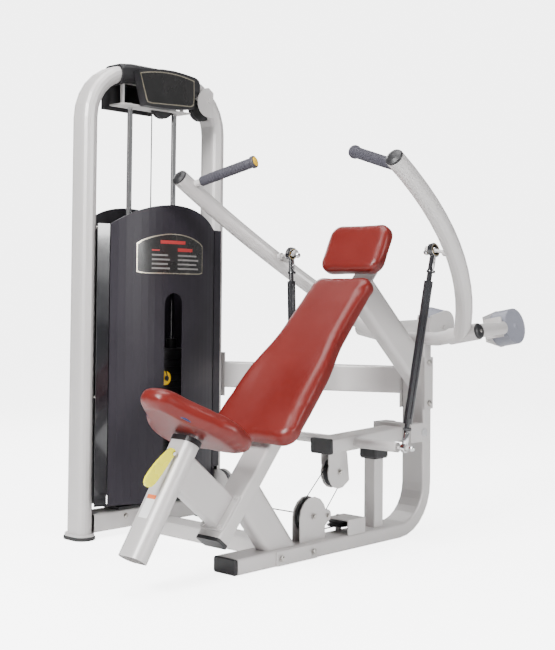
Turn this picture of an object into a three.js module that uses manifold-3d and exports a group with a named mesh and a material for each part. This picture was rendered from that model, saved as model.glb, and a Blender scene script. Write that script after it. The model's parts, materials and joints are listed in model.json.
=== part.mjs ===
// Converging press machine with a shrouded weight stack, in millimetres, +Z up.
// Working frame: X = 0 is the middle of the main beam, Y = 0 is the front face of the rear post,
// Z = 0 is the floor. The user sits facing -Y, so +X is the user's left. The last lines centre the box.
import * as THREE from 'three';
import { mergeVertices } from 'three/addons/utils/BufferGeometryUtils.js';
import Module from 'manifold-3d';

const wasm = await Module();
wasm.setup();

// ---- driving dimensions -------------------------------------------------------------------------
const GAP = 0.3;                       // clearance between touching pieces
const WALL = 3;                        // wall of every structural tube
const BEAM_WIDTH = 100;                // main beam section across X
const BEAM_HEIGHT = 50;                // main beam section in its bend plane
const BEAM_FRONT = -944;               // front end of the beam
const BEAM_BEND = 155;                 // centreline radius where the beam turns up into the post
const POST_Y = 25;                     // centre of the rear post
const PIVOT_HEIGHT = 709;              // axis of the arm cross tube above the floor
const PIVOT_KNEE = 95;                 // X where the cross tube starts to rise
const PIVOT_TILT = 10.5;               // degrees that each arm axis rises outwards
const CROSS_RADIUS = 25;               // cross tube radius
const OVAL_DEEP = 120;                 // oval stock used for the leg and the back support
const OVAL_THIN = 60;
const LEVER_PIVOT = [-48, 373];        // Y, Z of the press lever axis
const LEVER_WIDTH = 90;
const LINK_AXIS = [-376, 360];         // Y, Z of the rods' lower joints
const LINK_LOWER_X = 250;              // X of the rods' lower joints
const TOWER_X = -746;                  // middle of the weight tower
const TOWER_Y = -637;
const UPRIGHT_REACH = 309.5;           // upright centre from the tower's middle, along Y
const UPRIGHT_WIDTH = 100;             // oval upright section, X by Y
const UPRIGHT_DEPTH = 60;
const TOWER_TOP = 1700;
const ARCH_BEND = 180;                 // centreline bend radius of the arch
const UPRIGHT_BACK = TOWER_Y + UPRIGHT_REACH + UPRIGHT_DEPTH / 2;
const ROD_REACH = 107;                 // guide rod centre from the tower's middle
const ROD_RADIUS = 10;
const PANEL_HALF = 250;                // half width of a shroud panel
const PANEL_EDGE = 78;                 // panel edge from the tower's middle plane
const PANEL_BOW = 58;                  // how far a panel bows outwards at its middle
const PANEL_BOTTOM = 117;
const PANEL_SHOULDER = 1112;           // height of a panel's upper corners
const PANEL_APEX = 1191;
const SHEET = 3;                       // shroud sheet thickness
const PLATE_PITCH = 26;                // one weight plate and the gap above it
const STACK_BOTTOM = 127;
const LOWER_PLATES = 16;
const LIFTED_PLATES = 3;
const TOP_PLATE = 39;                  // thickness of the top plate
const PLATE_DEEP = 112;                // weight plate, X by Y
const PLATE_LONG = 300;
const CABLE_RADIUS = 2.4;
const PAD_TILT = 46.8;                 // degrees of the back pad from the floor
const HEAD_TILT = 64.2;
const SEAT_TILT = 32;                  // degrees the seat post leans back from upright
const POST_TILT = 50.3;                // degrees of the inclined post from the floor

const degrees = THREE.MathUtils.degToRad;
const vec = (x, y, z) => new THREE.Vector3(x, y, z);

// ---- materials ----------------------------------------------------------------------------------
const FINISHES = {
  frame: { color: 0xb9b3b1, roughness: 0.42, metalness: 0.35 },
  plastic: { color: 0x17161a, roughness: 0.45, metalness: 0 },
  slate: { color: 0x3a3743, roughness: 0.5, metalness: 0.1 },
  gloss: { color: 0x141318, roughness: 0.18, metalness: 0 },
  leather: { color: 0x8e2a24, roughness: 0.45, metalness: 0 },
  chrome: { color: 0xd8d8da, roughness: 0.15, metalness: 1 },
  iron: { color: 0x1b1b1e, roughness: 0.6, metalness: 0.4 },
  weight: { color: 0x7f8496, roughness: 0.5, metalness: 0.2 },
  rubber: { color: 0x4b4852, roughness: 0.75, metalness: 0 },
  yellow: { color: 0xf2e230, roughness: 0.4, metalness: 0 },
  cable: { color: 0x101012, roughness: 0.5, metalness: 0 },
};

// ---- solids -------------------------------------------------------------------------------------
function toSolid(geometry) {
  const bare = geometry.clone();
  bare.deleteAttribute('normal');
  bare.deleteAttribute('uv');
  const merged = mergeVertices(bare, 1e-4);
  const vertProperties = new Float32Array(merged.attributes.position.array);
  const triVerts = new Uint32Array(merged.index.array);
  return new wasm.Manifold(new wasm.Mesh({ numProp: 3, vertProperties, triVerts }));
}

function fromSolid(solid) {
  const mesh = solid.getMesh();
  const geometry = new THREE.BufferGeometry();
  geometry.setAttribute('position', new THREE.BufferAttribute(new Float32Array(mesh.vertProperties), 3));
  geometry.setIndex(new THREE.BufferAttribute(new Uint32Array(mesh.triVerts), 1));
  return geometry;
}

function join(first, ...others) {
  return fromSolid(others.reduce((sum, other) => sum.add(toSolid(other)), toSolid(first)));
}

function cut(first, ...others) {
  return fromSolid(others.reduce((rest, other) => rest.subtract(toSolid(other)), toSolid(first)));
}

function common(first, second) {
  return fromSolid(toSolid(first).intersect(toSolid(second)));
}

function mirrored(geometry) {
  const copy = geometry.index ? geometry.clone() : mergeVertices(geometry.clone());
  copy.scale(-1, 1, 1);
  const index = copy.index.array;
  for (let i = 0; i < index.length; i += 3) {
    [index[i], index[i + 1]] = [index[i + 1], index[i]];
  }
  return copy;
}

// ---- sections and sweeps ------------------------------------------------------------------------
function roundedRect(width, height, radius, target = new THREE.Shape()) {
  const x = width / 2;
  const y = height / 2;
  target.moveTo(x - radius, -y);
  target.absarc(x - radius, -y + radius, radius, -Math.PI / 2, 0, false);
  target.absarc(x - radius, y - radius, radius, 0, Math.PI / 2, false);
  target.absarc(-x + radius, y - radius, radius, Math.PI / 2, Math.PI, false);
  target.absarc(-x + radius, -y + radius, radius, Math.PI, Math.PI * 1.5, false);
  return target;
}

function tubeSection(width, height, radius, wall = WALL) {
  const shape = roundedRect(width, height, radius);
  shape.holes.push(roundedRect(width - 2 * wall, height - 2 * wall, Math.max(radius - wall, 1),
      new THREE.Path()));
  return shape;
}

function disc(radius) {
  return new THREE.Shape().absarc(0, 0, radius, 0, Math.PI * 2, false);
}

function slab(shape, depth, curveSegments = 3) {
  return new THREE.ExtrudeGeometry(shape, { depth, curveSegments, bevelEnabled: false });
}

/** A shape pushed from one point to another; side is the direction of the shape's own x. */
function bar(shape, from, to, side = vec(1, 0, 0), curveSegments = 2) {
  const along = to.clone().sub(from);
  const geometry = slab(shape, along.length(), curveSegments);
  const z = along.normalize();
  const x = side.clone().addScaledVector(z, -side.dot(z)).normalize();
  const basis = new THREE.Matrix4().makeBasis(x, z.clone().cross(x), z);
  return geometry.applyMatrix4(basis.setPosition(from));
}

function box(low, high) {
  const size = high.clone().sub(low);
  return new THREE.BoxGeometry(size.x, size.y,
      size.z).translate(...low.clone().add(high).multiplyScalar(0.5));
}

function rod(radius, from, to, sides = 16) {
  const geometry = new THREE.CylinderGeometry(radius, radius, from.distanceTo(to), sides);
  const turn = new THREE.Quaternion().setFromUnitVectors(vec(0, 1, 0), to.clone().sub(from).normalize());
  return geometry.applyQuaternion(turn).translate(...from.clone().add(to).multiplyScalar(0.5));
}

/** A route through given points, kept exactly at those points when it is swept. */
class Route extends THREE.Curve {
  constructor(points) {
    super();
    this.points = points;
  }

  getPoint(t, target = new THREE.Vector3()) {
    const place = t * (this.points.length - 1);
    const i = Math.min(Math.floor(place), this.points.length - 2);
    return target.copy(this.points[i]).lerp(this.points[i + 1], place - i);
  }

  getPointAt(u, target) {
    return this.getPoint(u, target);
  }

  getTangentAt(u, target = new THREE.Vector3()) {
    const last = this.points.length - 1;
    const i = Math.round(u * last);
    return target.copy(this.points[Math.min(i + 1, last)]).sub(this.points[Math.max(i - 1, 0)]).normalize();
  }
}

/** Corner points joined by straight runs, each inner corner rounded to its own radius. */
function bentRoute(corners, radii, steps = 6) {
  const points = [corners[0]];
  for (let i = 1; i < corners.length - 1; i += 1) {
    const before = corners[i - 1].clone().sub(corners[i]).normalize();
    const after = corners[i + 1].clone().sub(corners[i]).normalize();
    const half = before.angleTo(after) / 2;
    const centre = corners[i].clone().addScaledVector(before.clone().add(after).normalize(),
        radii[i - 1] / Math.sin(half));
    const start = corners[i].clone().addScaledVector(before, radii[i - 1] / Math.tan(half)).sub(centre);
    const axis = after.clone().cross(before).normalize();
    for (let k = 0; k <= steps; k += 1) {
      points.push(start.clone().applyAxisAngle(axis, (Math.PI - 2 * half) * (k / steps)).add(centre));
    }
  }
  points.push(corners[corners.length - 1]);
  return new Route(points);
}

function sweep(shape, route, curveSegments = 4) {
  const options = { steps: route.points.length - 1, extrudePath: route, curveSegments,
      bevelEnabled: false };
  return new THREE.ExtrudeGeometry(shape, options);
}

/** A body of revolution about +Z; each profile point is a radius and a height. */
function turned(profile, sides = 20) {
  const points = profile.map(([radius, height]) => new THREE.Vector2(radius, height));
  return new THREE.LatheGeometry(points, sides).rotateX(Math.PI / 2);
}

function hexBolt(at, out, size = 9, height = 6) {
  return rod(size, at.clone().addScaledVector(out, -1), at.clone().addScaledVector(out, height), 6);
}

/** An outline whose +x half is given from its one end on the middle line to the other. */
function bothHalves(half) {
  const points = half.getPoints(5);
  const others = points.filter((point) => point.x > 0.01).reverse();
  return new THREE.Shape([...points, ...others.map((point) => new THREE.Vector2(-point.x, point.y))]);
}

/** A slab from z = 0 up to the thickness, with rounded edges inside its outline. */
function softSlab(shape, thickness) {
  const edge = 12;
  const bevel = { bevelThickness: edge, bevelSize: edge, bevelOffset: -edge, bevelSegments: 1 };
  return new THREE.ExtrudeGeometry(shape, { depth: thickness - 2 * edge, curveSegments: 4,
      ...bevel }).translate(0, 0, edge);
}

function piece(name, geometry, finish) {
  const mesh = new THREE.Mesh(geometry, new THREE.MeshStandardMaterial(FINISHES[finish]));
  mesh.name = name;
  return mesh;
}

function group(position, turn, ...children) {
  const holder = new THREE.Group();
  holder.position.copy(position);
  holder.rotation.copy(turn);
  holder.add(...children);
  return holder;
}

/** A grooved wheel about its own Z axis, with a bored hub. */
function pulleyWheel(groove, width = 20, bore = 8.5) {
  const half = width / 2;
  const rim = groove + 8;
  const profile = [[bore, -half], [rim, -half], [rim, -half + 3], [groove, -2.5], [groove, 2.5],
    [rim, half - 3], [rim, half], [bore, half], [bore, -half]];
  return turned(profile, 18);
}

const alongX = new THREE.Euler(0, Math.PI / 2, 0);
const alongY = new THREE.Euler(Math.PI / 2, 0, 0);
const upright = new THREE.Euler();

// ---- cable geometry -----------------------------------------------------------------------------
const HEAD_PULLEY = { y: -592, z: 1580, groove: 45 };
const CORNER_PULLEY = { y: -398, z: 1592, groove: 45 };
const BASE_PULLEY = { x: -662, y: -344, z: 130, groove: 52 };
const TURN_PULLEY = { x: -33, y: -377, z: 78, groove: 33 };
const LOWER_PULLEY = { y: -565, z: 130, groove: 52 };
const LEVER_PULLEY = { y: -432, z: 264, groove: 45 };
const ANCHOR = [-494, 124];            // Y, Z of the cable's fixed end

/** The point where a straight run leaves a wheel, for a run towards a point; sign picks the side. */
function leavePoint(wheel, y, z, sign) {
  const dy = y - wheel.y;
  const dz = z - wheel.z;
  const swing = Math.atan2(dz, dy) + sign * Math.acos(wheel.groove / Math.hypot(dy, dz));
  return vec(0, wheel.y + wheel.groove * Math.cos(swing), wheel.z + wheel.groove * Math.sin(swing));
}

/** The angle of the outer common tangent's contact points, front side, between two wheels. */
function commonAngle(lower, upper) {
  const span = Math.atan2(upper.z - lower.z, upper.y - lower.y);
  const distance = Math.hypot(upper.z - lower.z, upper.y - lower.y);
  return span + Math.acos((lower.groove - upper.groove) / distance);
}

function arcPoints(centre, radius, first, second, from, to, steps) {
  const points = [];
  for (let k = 0; k <= steps; k += 1) {
    const angle = from + (to - from) * (k / steps);
    const across = first.clone().multiplyScalar(radius * Math.cos(angle));
    points.push(across.addScaledVector(second, radius * Math.sin(angle)).add(centre));
  }
  return points;
}

const Y_AXIS = vec(0, 1, 0);
const Z_AXIS = vec(0, 0, 1);
const X_AXIS = vec(1, 0, 0);
const RIDE = CABLE_RADIUS + 0.7;       // the cable's centre stands this far above a groove

// ---- main frame ---------------------------------------------------------------------------------
function mainFrame() {
  const route = bentRoute([vec(0, BEAM_FRONT, 25), vec(0, POST_Y, 25), vec(0, POST_Y, PIVOT_HEIGHT - 8)],
      [BEAM_BEND], 7);
  const tube = sweep(tubeSection(BEAM_HEIGHT, BEAM_WIDTH, 8), route, 2);
  const saddle = rod(CROSS_RADIUS + 1, vec(-60, POST_Y, PIVOT_HEIGHT), vec(60, POST_Y, PIVOT_HEIGHT), 20);
  const [pivotY, pivotZ] = LEVER_PIVOT;
  const housing = rod(30, vec(-49, pivotY, pivotZ), vec(49, pivotY, pivotZ), 18);
  const web = box(vec(-45, pivotY, pivotZ - 18), vec(45, 1, pivotZ + 18));
  const bore = rod(10.6, vec(-60, pivotY, pivotZ), vec(60, pivotY, pivotZ), 20);
  const bumperPost = bar(tubeSection(50, 50, 5), vec(0, -225, 49), vec(0, -225, 290), X_AXIS, 2);
  const body = join(tube, housing, web, bumperPost, ...lowerBracket(), turnBracket());
  return piece('main_frame_tube', cut(body, saddle, bore), 'frame');
}

function lowerBracket() {
  const outline = new THREE.Shape();
  outline.moveTo(-62, -81);
  outline.lineTo(60, -81);
  outline.lineTo(60, -40);
  outline.quadraticCurveTo(70, -30, 84, -22);
  outline.absarc(71, -6, 20, -0.9, 1.9, false);
  outline.absarc(0, 0, 64, 0.55, Math.PI, false);
  outline.lineTo(-64, -81);
  const plate = slab(outline, 4, 3).rotateY(Math.PI / 2).rotateX(Math.PI / 2);
  const near = plate.clone().translate(14, LOWER_PULLEY.y, LOWER_PULLEY.z);
  const far = plate.clone().translate(-18, LOWER_PULLEY.y, LOWER_PULLEY.z);
  const axle = rod(8, vec(-23, LOWER_PULLEY.y, LOWER_PULLEY.z), vec(23, LOWER_PULLEY.y, LOWER_PULLEY.z),
      14);
  const anchor = rod(7, vec(-23, ANCHOR[0], ANCHOR[1]), vec(23, ANCHOR[0], ANCHOR[1]), 12);
  return [near, far, axle, anchor];
}

function turnBracket() {
  const { x, y, z } = TURN_PULLEY;
  const roof = box(vec(-49, y - 44, 97), vec(49, y + 47, 101));
  const cheek = box(vec(45, y - 44, 49), vec(49, y + 47, 98));
  const post = rod(8, vec(x, y, 49), vec(x, y, 106), 14);
  return join(roof, cheek, post, rod(11, vec(x, y, 49), vec(x, y, z - 10.6), 14));
}

function mainFrameCap() {
  const plug = slab(roundedRect(BEAM_WIDTH - 8, BEAM_HEIGHT - 8, 5), 21, 3);
  const face = new THREE.ExtrudeGeometry(roundedRect(BEAM_WIDTH - 6, BEAM_HEIGHT - 6, 5),
    { depth: 5, bevelThickness: 3, bevelSize: 3, bevelSegments: 1, curveSegments: 2 });
  const cap = join(plug.translate(0, 0, -20), face.translate(0, 0, 3 + GAP));
  return piece('main_frame_cap', cap.rotateX(Math.PI / 2).translate(0, BEAM_FRONT, 25), 'plastic');
}

function pivotCrossTube() {
  const rise = Math.tan(degrees(PIVOT_TILT));
  const reach = 147;
  const high = PIVOT_HEIGHT + (reach - PIVOT_KNEE) * rise;
  const corners = [vec(-reach, POST_Y, high), vec(-PIVOT_KNEE, POST_Y, PIVOT_HEIGHT), vec(PIVOT_KNEE,
      POST_Y, PIVOT_HEIGHT),
    vec(reach, POST_Y, high)];
  const tube = sweep(disc(CROSS_RADIUS), bentRoute(corners, [90, 90], 3), 10);
  const axle = (side) => {
    const axis = vec(side * Math.cos(degrees(PIVOT_TILT)), 0, Math.sin(degrees(PIVOT_TILT)));
    const knee = vec(side * PIVOT_KNEE, POST_Y, PIVOT_HEIGHT);
    return rod(12, knee.clone().addScaledVector(axis, 30), knee.clone().addScaledVector(axis, 176), 20);
  };
  return piece('pivot_cross_tube', join(tube, axle(1), axle(-1)), 'frame');
}

function inPlane(angle, point, along, across = 0) {
  const c = Math.cos(degrees(angle));
  const s = Math.sin(degrees(angle));
  return vec(0, point.y + along * c - across * s, point.z + along * s + across * c);
}

function backSupport() {
  const foot = vec(0, -GAP, 603);
  const top = inPlane(180 - 42.7, foot, 434);
  const tube = bar(tubeSection(OVAL_THIN, OVAL_DEEP, 24), inPlane(180 - 42.7, foot, -90), top, X_AXIS, 4);
  const plate = bar(roundedRect(96, 150, 8), inPlane(180 - 42.7, foot, 430), inPlane(180 - 42.7, foot,
      436), X_AXIS, 2);
  const behind = box(vec(-80, -GAP, 300), vec(80, 200, 900));
  return piece('back_support_tube', cut(join(tube, plate), behind), 'frame');
}

const INCLINED_FOOT = vec(0, -1005, 112);

function inclinedPost() {
  const top = inPlane(POST_TILT, INCLINED_FOOT, 425);
  const tube = bar(tubeSection(BEAM_WIDTH, BEAM_HEIGHT, 8), INCLINED_FOOT, top, X_AXIS, 2);
  return piece('inclined_post_tube', tube, 'frame');
}

function inclinedPostCap() {
  const inside = bar(roundedRect(92, 42, 5), inPlane(POST_TILT, INCLINED_FOOT, -GAP), inPlane(POST_TILT,
      INCLINED_FOOT, 20), X_AXIS, 2);
  const face = bar(roundedRect(100, 50, 8), inPlane(POST_TILT, INCLINED_FOOT, -12), inPlane(POST_TILT,
      INCLINED_FOOT, -GAP), X_AXIS, 2);
  return piece('inclined_post_cap', join(inside, face), 'plastic');
}

function frontLeg() {
  const lean = 180 - 51.5;
  const foot = vec(0, -727, 50 + GAP);
  const tube = bar(tubeSection(OVAL_THIN, OVAL_DEEP, 26), inPlane(lean, foot, -90), inPlane(lean, foot,
      300), X_AXIS, 5);
  const below = box(vec(-90, -1200, -60), vec(90, -400, 50 + GAP));
  const beyond = box(vec(-200, -200, -400), vec(200, 25 + GAP, 900)).rotateX(degrees(POST_TILT - 90));
  beyond.translate(0, INCLINED_FOOT.y, INCLINED_FOOT.z);
  return piece('front_leg_tube', cut(tube, below, beyond), 'frame');
}

function seatArm() {
  const face = inPlane(POST_TILT, INCLINED_FOOT, 84, 25 + GAP);
  const away = POST_TILT + 90;
  const plate = bar(roundedRect(96, 128, 8), face, inPlane(away, face, 8), X_AXIS, 2);
  const tube = bar(tubeSection(50, 110, 7), inPlane(away, face, 7), inPlane(away, face, 260), X_AXIS, 2);
  const bolts = [-1, 1].flatMap((side) => [-52, 52].map((along) => {
    const at = inPlane(POST_TILT, INCLINED_FOOT, 84 + along, 25 + GAP + 8).setX(side * 36);
    return hexBolt(at, inPlane(away, vec(0, 0, 0), 1), 7, 5);
  }));
  return piece('seat_arm_tube', cut(join(plate, tube, ...bolts), sleeveEnvelope(GAP)), 'frame');
}

// ---- seat ---------------------------------------------------------------------------------------
const SEAT_ORIGIN = vec(0, -1123, 415);
const SLEEVE_LENGTH = 371;
const seatTurn = new THREE.Euler(-degrees(SEAT_TILT), 0, 0);

function sleeveEnvelope(extra) {
  const solid = slab(roundedRect(100 + 2 * extra, 60 + 2 * extra, 29), 600, 6).translate(0, 0, -500);
  return solid.rotateX(-degrees(SEAT_TILT)).translate(...SEAT_ORIGIN);
}

function seatSleeve() {
  const tube = slab(tubeSection(100, 60, 29), SLEEVE_LENGTH, 5).translate(0, 0, -SLEEVE_LENGTH);
  const hinge = box(vec(-2, -44, -62), vec(14, -29, -40));
  const pin = rod(4, vec(-12, -44, -51), vec(24, -44, -51), 12);
  return piece('seat_sleeve_tube', join(tube, hinge, pin), 'frame');
}

function seatCollar() {
  const ring = slab(tubeSection(106, 66, 32, 11.5), 16, 3).translate(0, 0, GAP);
  const skirt = slab(tubeSection(93, 53, 25, 5), 24, 3).translate(0, 0, GAP - 24);
  return piece('seat_sleeve_collar', join(ring, skirt), 'plastic');
}

function seatPost() {
  const inner = slab(roundedRect(80, 40, 19), 300, 6).translate(0, 0, -270);
  const plate = slab(roundedRect(150, 130, 12), 6, 3).translate(0, 0, 28);
  return piece('seat_post', join(inner, plate), 'chrome');
}

function seatPad() {
  const half = new THREE.Path();
  half.moveTo(0, -215);
  half.bezierCurveTo(48, -215, 62, -196, 84, -160);
  half.bezierCurveTo(112, -108, 180, -70, 196, 0);
  half.bezierCurveTo(206, 60, 190, 118, 128, 124);
  half.lineTo(0, 124);
  return piece('seat_pad', softSlab(bothHalves(half), 50).translate(0, 0, 34 + GAP), 'leather');
}

function seatLever() {
  const outline = new THREE.Shape();
  outline.moveTo(-12, 10);
  outline.bezierCurveTo(4, 16, 12, 8, 10, -4);
  outline.bezierCurveTo(2, -40, -2, -70, -12, -106);
  outline.bezierCurveTo(-20, -134, -54, -134, -52, -104);
  outline.bezierCurveTo(-48, -66, -32, -24, -12, 10);
  const blade = slab(outline, 9, 5).rotateY(Math.PI / 2).rotateX(Math.PI / 2).translate(14.6, -48, -51);
  const bore = rod(4.4, vec(-20, -44, -51), vec(40, -44, -51), 12);
  return piece('seat_lever', cut(blade, bore), 'yellow');
}

// ---- pads ---------------------------------------------------------------------------------------
const padTurn = new THREE.Euler(degrees(PAD_TILT), 0, 0);
const headTurn = new THREE.Euler(degrees(HEAD_TILT), 0, 0);

function backPad() {
  const half = new THREE.Path();
  half.moveTo(0, 694);
  half.lineTo(92, 694);
  half.absarc(92, 648, 46, Math.PI / 2, 0, true);
  half.bezierCurveTo(141, 560, 141, 480, 147, 410);
  half.bezierCurveTo(152, 350, 176, 310, 182, 200);
  half.lineTo(193, 34);
  half.absarc(135, 34, 58, 0, -Math.PI / 2, true);
  half.lineTo(0, -24);
  return piece('back_pad', softSlab(bothHalves(half), 60).translate(0, 0, -60), 'leather');
}

function headPad() {
  return piece('head_pad', softSlab(roundedRect(280, 196, 50), 58).translate(0, 113, -58), 'leather');
}

// ---- press lever --------------------------------------------------------------------------------
function pressLever() {
  const [pivotY, pivotZ] = LEVER_PIVOT;
  const front = vec(0, -499, 356);
  const tube = bar(tubeSection(LEVER_WIDTH, 50, 7), front, vec(0, -110, 370), X_AXIS, 2);
  const bridge = box(vec(-86, -122, pivotZ - 33), vec(86, -90, pivotZ + 33));
  const cheek = new THREE.Shape();
  cheek.moveTo(-70, -33);
  cheek.lineTo(0, -33);
  cheek.absarc(0, 0, 33, -Math.PI / 2, Math.PI / 2, false);
  cheek.lineTo(-70, 33);
  const cheeks = [52, -86].map((x) => slab(cheek, 34,
      4).rotateY(Math.PI / 2).rotateX(Math.PI / 2).translate(x, pivotY, pivotZ));
  const bore = rod(10.5, vec(-100, pivotY, pivotZ), vec(100, pivotY, pivotZ), 20);
  const [linkY, linkZ] = LINK_AXIS;
  const arms = [-1, 1].flatMap((side) => [
    rod(17, vec(side * 40, linkY, linkZ), vec(side * 225, linkY, linkZ), 20),
    rod(6, vec(side * 220, linkY, linkZ), vec(side * 276, linkY, linkZ), 12),
    rod(10, vec(side * 262, linkY, linkZ), vec(side * 276, linkY, linkZ), 12),
  ]);
  const body = join(tube, bridge, ...cheeks, ...arms, ...leverBracket());
  return piece('press_lever', cut(body, bore), 'frame');
}

function leverBracket() {
  const outline = new THREE.Shape();
  outline.moveTo(-56, 72);
  outline.lineTo(-56, 30);
  outline.absarc(0, 0, 58, Math.PI * 0.86, Math.PI * 1.6, false);
  outline.lineTo(52, -34);
  outline.lineTo(40, 60);
  outline.lineTo(30, 76);
  const plate = slab(outline, 4, 3).rotateY(Math.PI / 2).rotateX(Math.PI / 2);
  const near = plate.clone().translate(14, LEVER_PULLEY.y, LEVER_PULLEY.z);
  const far = plate.clone().translate(-18, LEVER_PULLEY.y, LEVER_PULLEY.z);
  return [near, far, rod(8, vec(-23, LEVER_PULLEY.y, LEVER_PULLEY.z), vec(23, LEVER_PULLEY.y,
      LEVER_PULLEY.z), 14)];
}

function pressLeverCap() {
  const inside = bar(roundedRect(82, 42, 4), vec(0, -500, 356), vec(0, -491, 356.3), X_AXIS, 2);
  const face = bar(roundedRect(92, 52, 7), vec(0, -510, 355.6), vec(0, -499 - GAP, 356), X_AXIS, 2);
  return piece('press_lever_cap', join(inside, face), 'plastic');
}

function leverPin() {
  const [y, z] = LEVER_PIVOT;
  const heads = [-1, 1].map((side) => rod(15, vec(side * (86 + GAP), y, z), vec(side * 93, y, z), 6));
  return piece('lever_pivot_pin', join(rod(10, vec(-90, y, z), vec(90, y, z), 20), ...heads), 'chrome');
}

function linkRod(side, name) {
  const low = vec(side * LINK_LOWER_X, ...LINK_AXIS);
  const high = vec(side * 324, -319, 1018);
  const point = (t) => low.clone().lerp(high, t);
  const length = low.distanceTo(high);
  const at = (distance) => point(distance / length);
  const eyes = [[0, 13, 6.6], [length, 24, 17]].map(([distance, outer, inner]) => {
    const eye = turned([[inner, -7], [outer, -7], [outer, 7], [inner, 7], [inner, -7]],
        12).rotateY(Math.PI / 2);
    const tilt = distance > 0 ? -side * degrees(PIVOT_TILT) : 0;
    return eye.rotateY(tilt).translate(...at(distance));
  });
  const parts = [rod(9, at(11), at(70), 10), rod(15, at(82), at(length - 104), 16), rod(9, at(66),
      at(90), 12),
    rod(9, at(length - 110), at(length - 22), 10)];
  return piece(name, join(eyes[0], ...parts, eyes[1]), 'plastic');
}

// ---- press arms ---------------------------------------------------------------------------------
const ARM_ROOT = vec(199.2, 25, 728.3);
const ARM_BOW = vec(485.3, -296.1, 1009.7);
const ARM_TIP = vec(480.7, -730.9, 1276.6);
const ARM_RADIUS = 30;
const armCurve = new THREE.QuadraticBezierCurve3(ARM_ROOT, ARM_BOW, ARM_TIP);
const armKnee = vec(PIVOT_KNEE, POST_Y, PIVOT_HEIGHT);
const armTurn = new THREE.Euler(0, -degrees(PIVOT_TILT), 0);

/** Moves a solid from the working frame into the left arm's own frame, whose X is the arm's axis. */
function toArmFrame(geometry) {
  const frame = new THREE.Matrix4().makeRotationFromEuler(armTurn).setPosition(armKnee);
  return geometry.applyMatrix4(frame.invert());
}

function armRoute(from, to, steps) {
  const points = [];
  for (let k = 0; k <= steps; k += 1) {
    points.push(armCurve.getPoint(from + (to - from) * (k / steps)));
  }
  return new Route(points);
}

const GRIP_ROOT = armCurve.getPoint(0.95);
const GRIP_TIP = vec(221, -612, 1327);
const STUD_ROOT = armCurve.getPoint(0.493);
const HUB_START = 56.5;
const HUB_END = 181;
const WEIGHT_CENTRE = vec(44.5, 347.6, 25);
const WEIGHT_RADIUS = 68.5;
const WEIGHT_WIDTH = 72;

function gripDirection() {
  return GRIP_TIP.clone().sub(GRIP_ROOT).normalize();
}

function armBody() {
  const outer = toArmFrame(sweep(disc(ARM_RADIUS), armRoute(0, 1, 13), 9));
  const hollow = toArmFrame(sweep(disc(ARM_RADIUS - WALL), armRoute(0.1, 1.02, 7), 5));
  const stubEnd = STUD_ROOT.clone().addScaledVector(vec(-Math.cos(degrees(PIVOT_TILT)), 0,
      Math.sin(degrees(PIVOT_TILT))), 1);
  const studAxis = stubEnd.sub(STUD_ROOT);
  const stud = (radius, from, to, sides) => toArmFrame(rod(radius,
      STUD_ROOT.clone().addScaledVector(studAxis, from),
    STUD_ROOT.clone().addScaledVector(studAxis, to), sides));
  const grip = gripDirection();
  const gripTube = toArmFrame(rod(12, GRIP_ROOT.clone().addScaledVector(grip, 28),
      GRIP_ROOT.clone().addScaledVector(grip, 270), 16));
  const hub = rod(30, vec(HUB_START, 0, 0), vec(HUB_END, 0, 0), 20);
  const dome = turned([[0, 0], [27, 0], [24, 5], [14, 9], [0, 10]],
      24).rotateY(Math.PI / 2).translate(HUB_END - 1, 0, 0);
  const bore = rod(12.8, vec(HUB_START - 5, 0, 0), vec(178, 0, 0), 20);
  const body = join(cut(join(outer, hub), hollow), stud(13, 28, 43, 16), stud(6, 38, 118, 12), stud(9,
      104, 118, 12),
    gripTube, dome, ...weightBracket());
  return cut(body, bore);
}

function weightBracket() {
  const { x, y, z } = WEIGHT_CENTRE;
  const tube = rod(25, vec(135, 0, 4), vec(97, y - 30, z - 2), 20);
  const clear = rod(WEIGHT_RADIUS + 0.6, vec(x - 60, y, z), vec(x + WEIGHT_WIDTH + 60, y, z), 32);
  const side = new THREE.Shape();
  side.absarc(0, 0, 70, -Math.PI / 2, Math.PI / 2, false);
  side.lineTo(-96, 48);
  side.lineTo(-96, -48);
  const plate = slab(side, 6, 8).rotateY(Math.PI / 2).rotateX(Math.PI / 2).translate(x - 6 - GAP, y, z);
  const flange = new THREE.Shape();
  flange.moveTo(x - 6 - GAP, y - 76);
  flange.lineTo(x - 6 - GAP, y - 96);
  flange.lineTo(112, y - 86);
  flange.lineTo(112, y - 80);
  flange.lineTo(x, y - 88);
  flange.lineTo(x, y - 76);
  const front = slab(flange, 76, 2).translate(0, 0, z - 38);
  const bolt = rod(9, vec(x - 13, y, z), vec(x - 5, y, z), 6);
  return [cut(tube, clear), plate, front, bolt];
}

function counterweight() {
  const { x, y, z } = WEIGHT_CENTRE;
  return rod(WEIGHT_RADIUS, vec(x, y, z), vec(x + WEIGHT_WIDTH, y, z), 32);
}

function gripSleeve() {
  const grip = gripDirection();
  const length = GRIP_TIP.distanceTo(GRIP_ROOT);
  const profile = [[12.4, 54], [17.5, 54], [17.5, length - 14], [22, length - 11], [22, length - 2], [20,
      length],
    [0, length], [0, 271], [12.4, 271], [12.4, 54]];
  const turn = new THREE.Quaternion().setFromUnitVectors(vec(0, 0, 1), grip);
  const sleeve = turned(profile, 18).applyQuaternion(turn).translate(...GRIP_ROOT);
  return toArmFrame(sleeve);
}

function armCap() {
  const tangent = armCurve.getTangent(1);
  const dome = turned([[0, -9], [23, -9], [23, GAP], [29.5, GAP], [27, 5], [16, 10], [0, 12]], 24);
  const turn = new THREE.Quaternion().setFromUnitVectors(vec(0, 0, 1), tangent);
  return toArmFrame(dome.translate(0, 0, 1.2).applyQuaternion(turn).translate(...ARM_TIP));
}

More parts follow.
